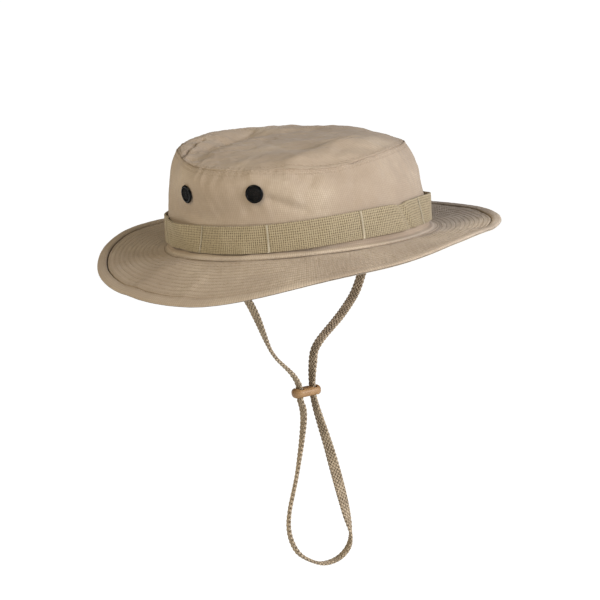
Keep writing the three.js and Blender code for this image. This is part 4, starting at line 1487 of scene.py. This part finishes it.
for node, angle in VENT_ANGLES.items():
    pick(eyelet)
    bpy.ops.object.duplicate()
    vent = bpy.context.object
    vent.name = node.replace("vent", "screened_vent")
    spot = Vector(crown_at(float(angle), VENT_SHARE))
    out = Vector(crown_normal(np.array(float(angle)), np.array(VENT_SHARE)))
    turn = Vector((0, 0, 1)).rotation_difference(out).to_matrix().to_4x4()
    vent.data.transform(Matrix.Translation(spot) @ turn)

    bpy.ops.object.select_all(action="DESELECT")
    bpy.ops.mesh.primitive_cylinder_add(vertices=40, radius=DRILL_RADIUS, depth=DRILL_LENGTH)
    drill = bpy.context.object
    drill.data.transform(Matrix.Translation(spot) @ turn)
    apply_modifier(side, "BOOLEAN", object=drill, operation="DIFFERENCE", solver="EXACT")
    bpy.data.objects.remove(drill)

    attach(vent, "root")
    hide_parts(node)
bpy.data.objects.remove(eyelet)

# Studio. A pale floor well below the hat, which is held up as on a head, and a dim even surround.
# The floor glows with painted light like a light table, and has a painted shadow pool under the hat.
# A soft key light stands low at the front right, and weaker ones at the right, high at the front and
# high at the left, where it is warmer.
FLOOR_DEPTH = -750 * MM
FLOOR_SIZE = 60
FLOOR_SHADOW_POOL = (0.7, 1.1)  # the painted shadow pool under the hat fades out between these distances
FLOOR_SHADOW_GLOW = 0.28  # the floor's glow in the painted shadow pool under the hat
LIGHT_DISTANCE = 2.2
LIGHT_SIZE = 1
bpy.ops.object.select_all(action="DESELECT")
bpy.ops.mesh.primitive_plane_add(size=FLOOR_SIZE, location=(0, 0, FLOOR_DEPTH))
floor = bpy.context.object
floor.name = "studio_floor"
glowing_floor, tree, shader = new_material("glowing_floor_with_painted_shadow")
place = add_node(tree, "ShaderNodeTexCoord")
distance = add_node(tree, "ShaderNodeVectorMath", {"operation": "LENGTH"}, {0: place.outputs["Object"]})
glow = add_node(
    tree,
    "ShaderNodeMapRange",
    {
        "interpolation_type": "SMOOTHSTEP",
        "From Min": FLOOR_SHADOW_POOL[0],
        "From Max": FLOOR_SHADOW_POOL[1],
        "To Min": FLOOR_SHADOW_GLOW,
        "To Max": 1,
    },
    {"Value": distance.outputs["Value"]},
)
tree.links.new(glow.outputs["Result"], shader.inputs["Emission Color"])
shader.inputs["Emission Strength"].default_value = 1
shader.inputs["Base Color"].default_value = linear("#b0b0ae")
shader.inputs["Roughness"].default_value = 0.95
shader.inputs["Specular IOR Level"].default_value = 0
floor.data.materials.append(glowing_floor)

world = bpy.context.scene.world or bpy.data.worlds.new("studio")
bpy.context.scene.world = world
world.use_nodes = True
surround = world.node_tree.nodes["Background"]
surround.inputs["Color"].default_value = linear("#595959")
surround.inputs["Strength"].default_value = 1


def soft_light(name, turn, rise, power, colour):
    """A round soft light that faces the hat. Its bearing from the camera and its height are in degrees."""
    bearing = VIEW_TURN + math.radians(turn)
    height = math.radians(rise)
    away = Vector((math.sin(bearing), -math.cos(bearing), 0)) * math.cos(height)
    away.z = math.sin(height)
    bpy.ops.object.light_add(type="AREA", location=away * LIGHT_DISTANCE)
    light = bpy.context.object
    light.name = name
    light.data.shape = "DISK"
    light.data.size = LIGHT_SIZE
    light.data.energy = power
    light.data.color = linear(colour)[:3]
    light.rotation_euler = away.to_track_quat("Z", "Y").to_euler()


soft_light("key_light", 46, 15, 41, "#f3f5ff")
soft_light("side_light", 85, 20, 11, "#fff8fa")
soft_light("front_light", 0, 50, 7, "#f2faff")
soft_light("fill_light", -55, 38, 21, "#ffefd0")
bpy.context.scene.view_settings.view_transform = "Standard"
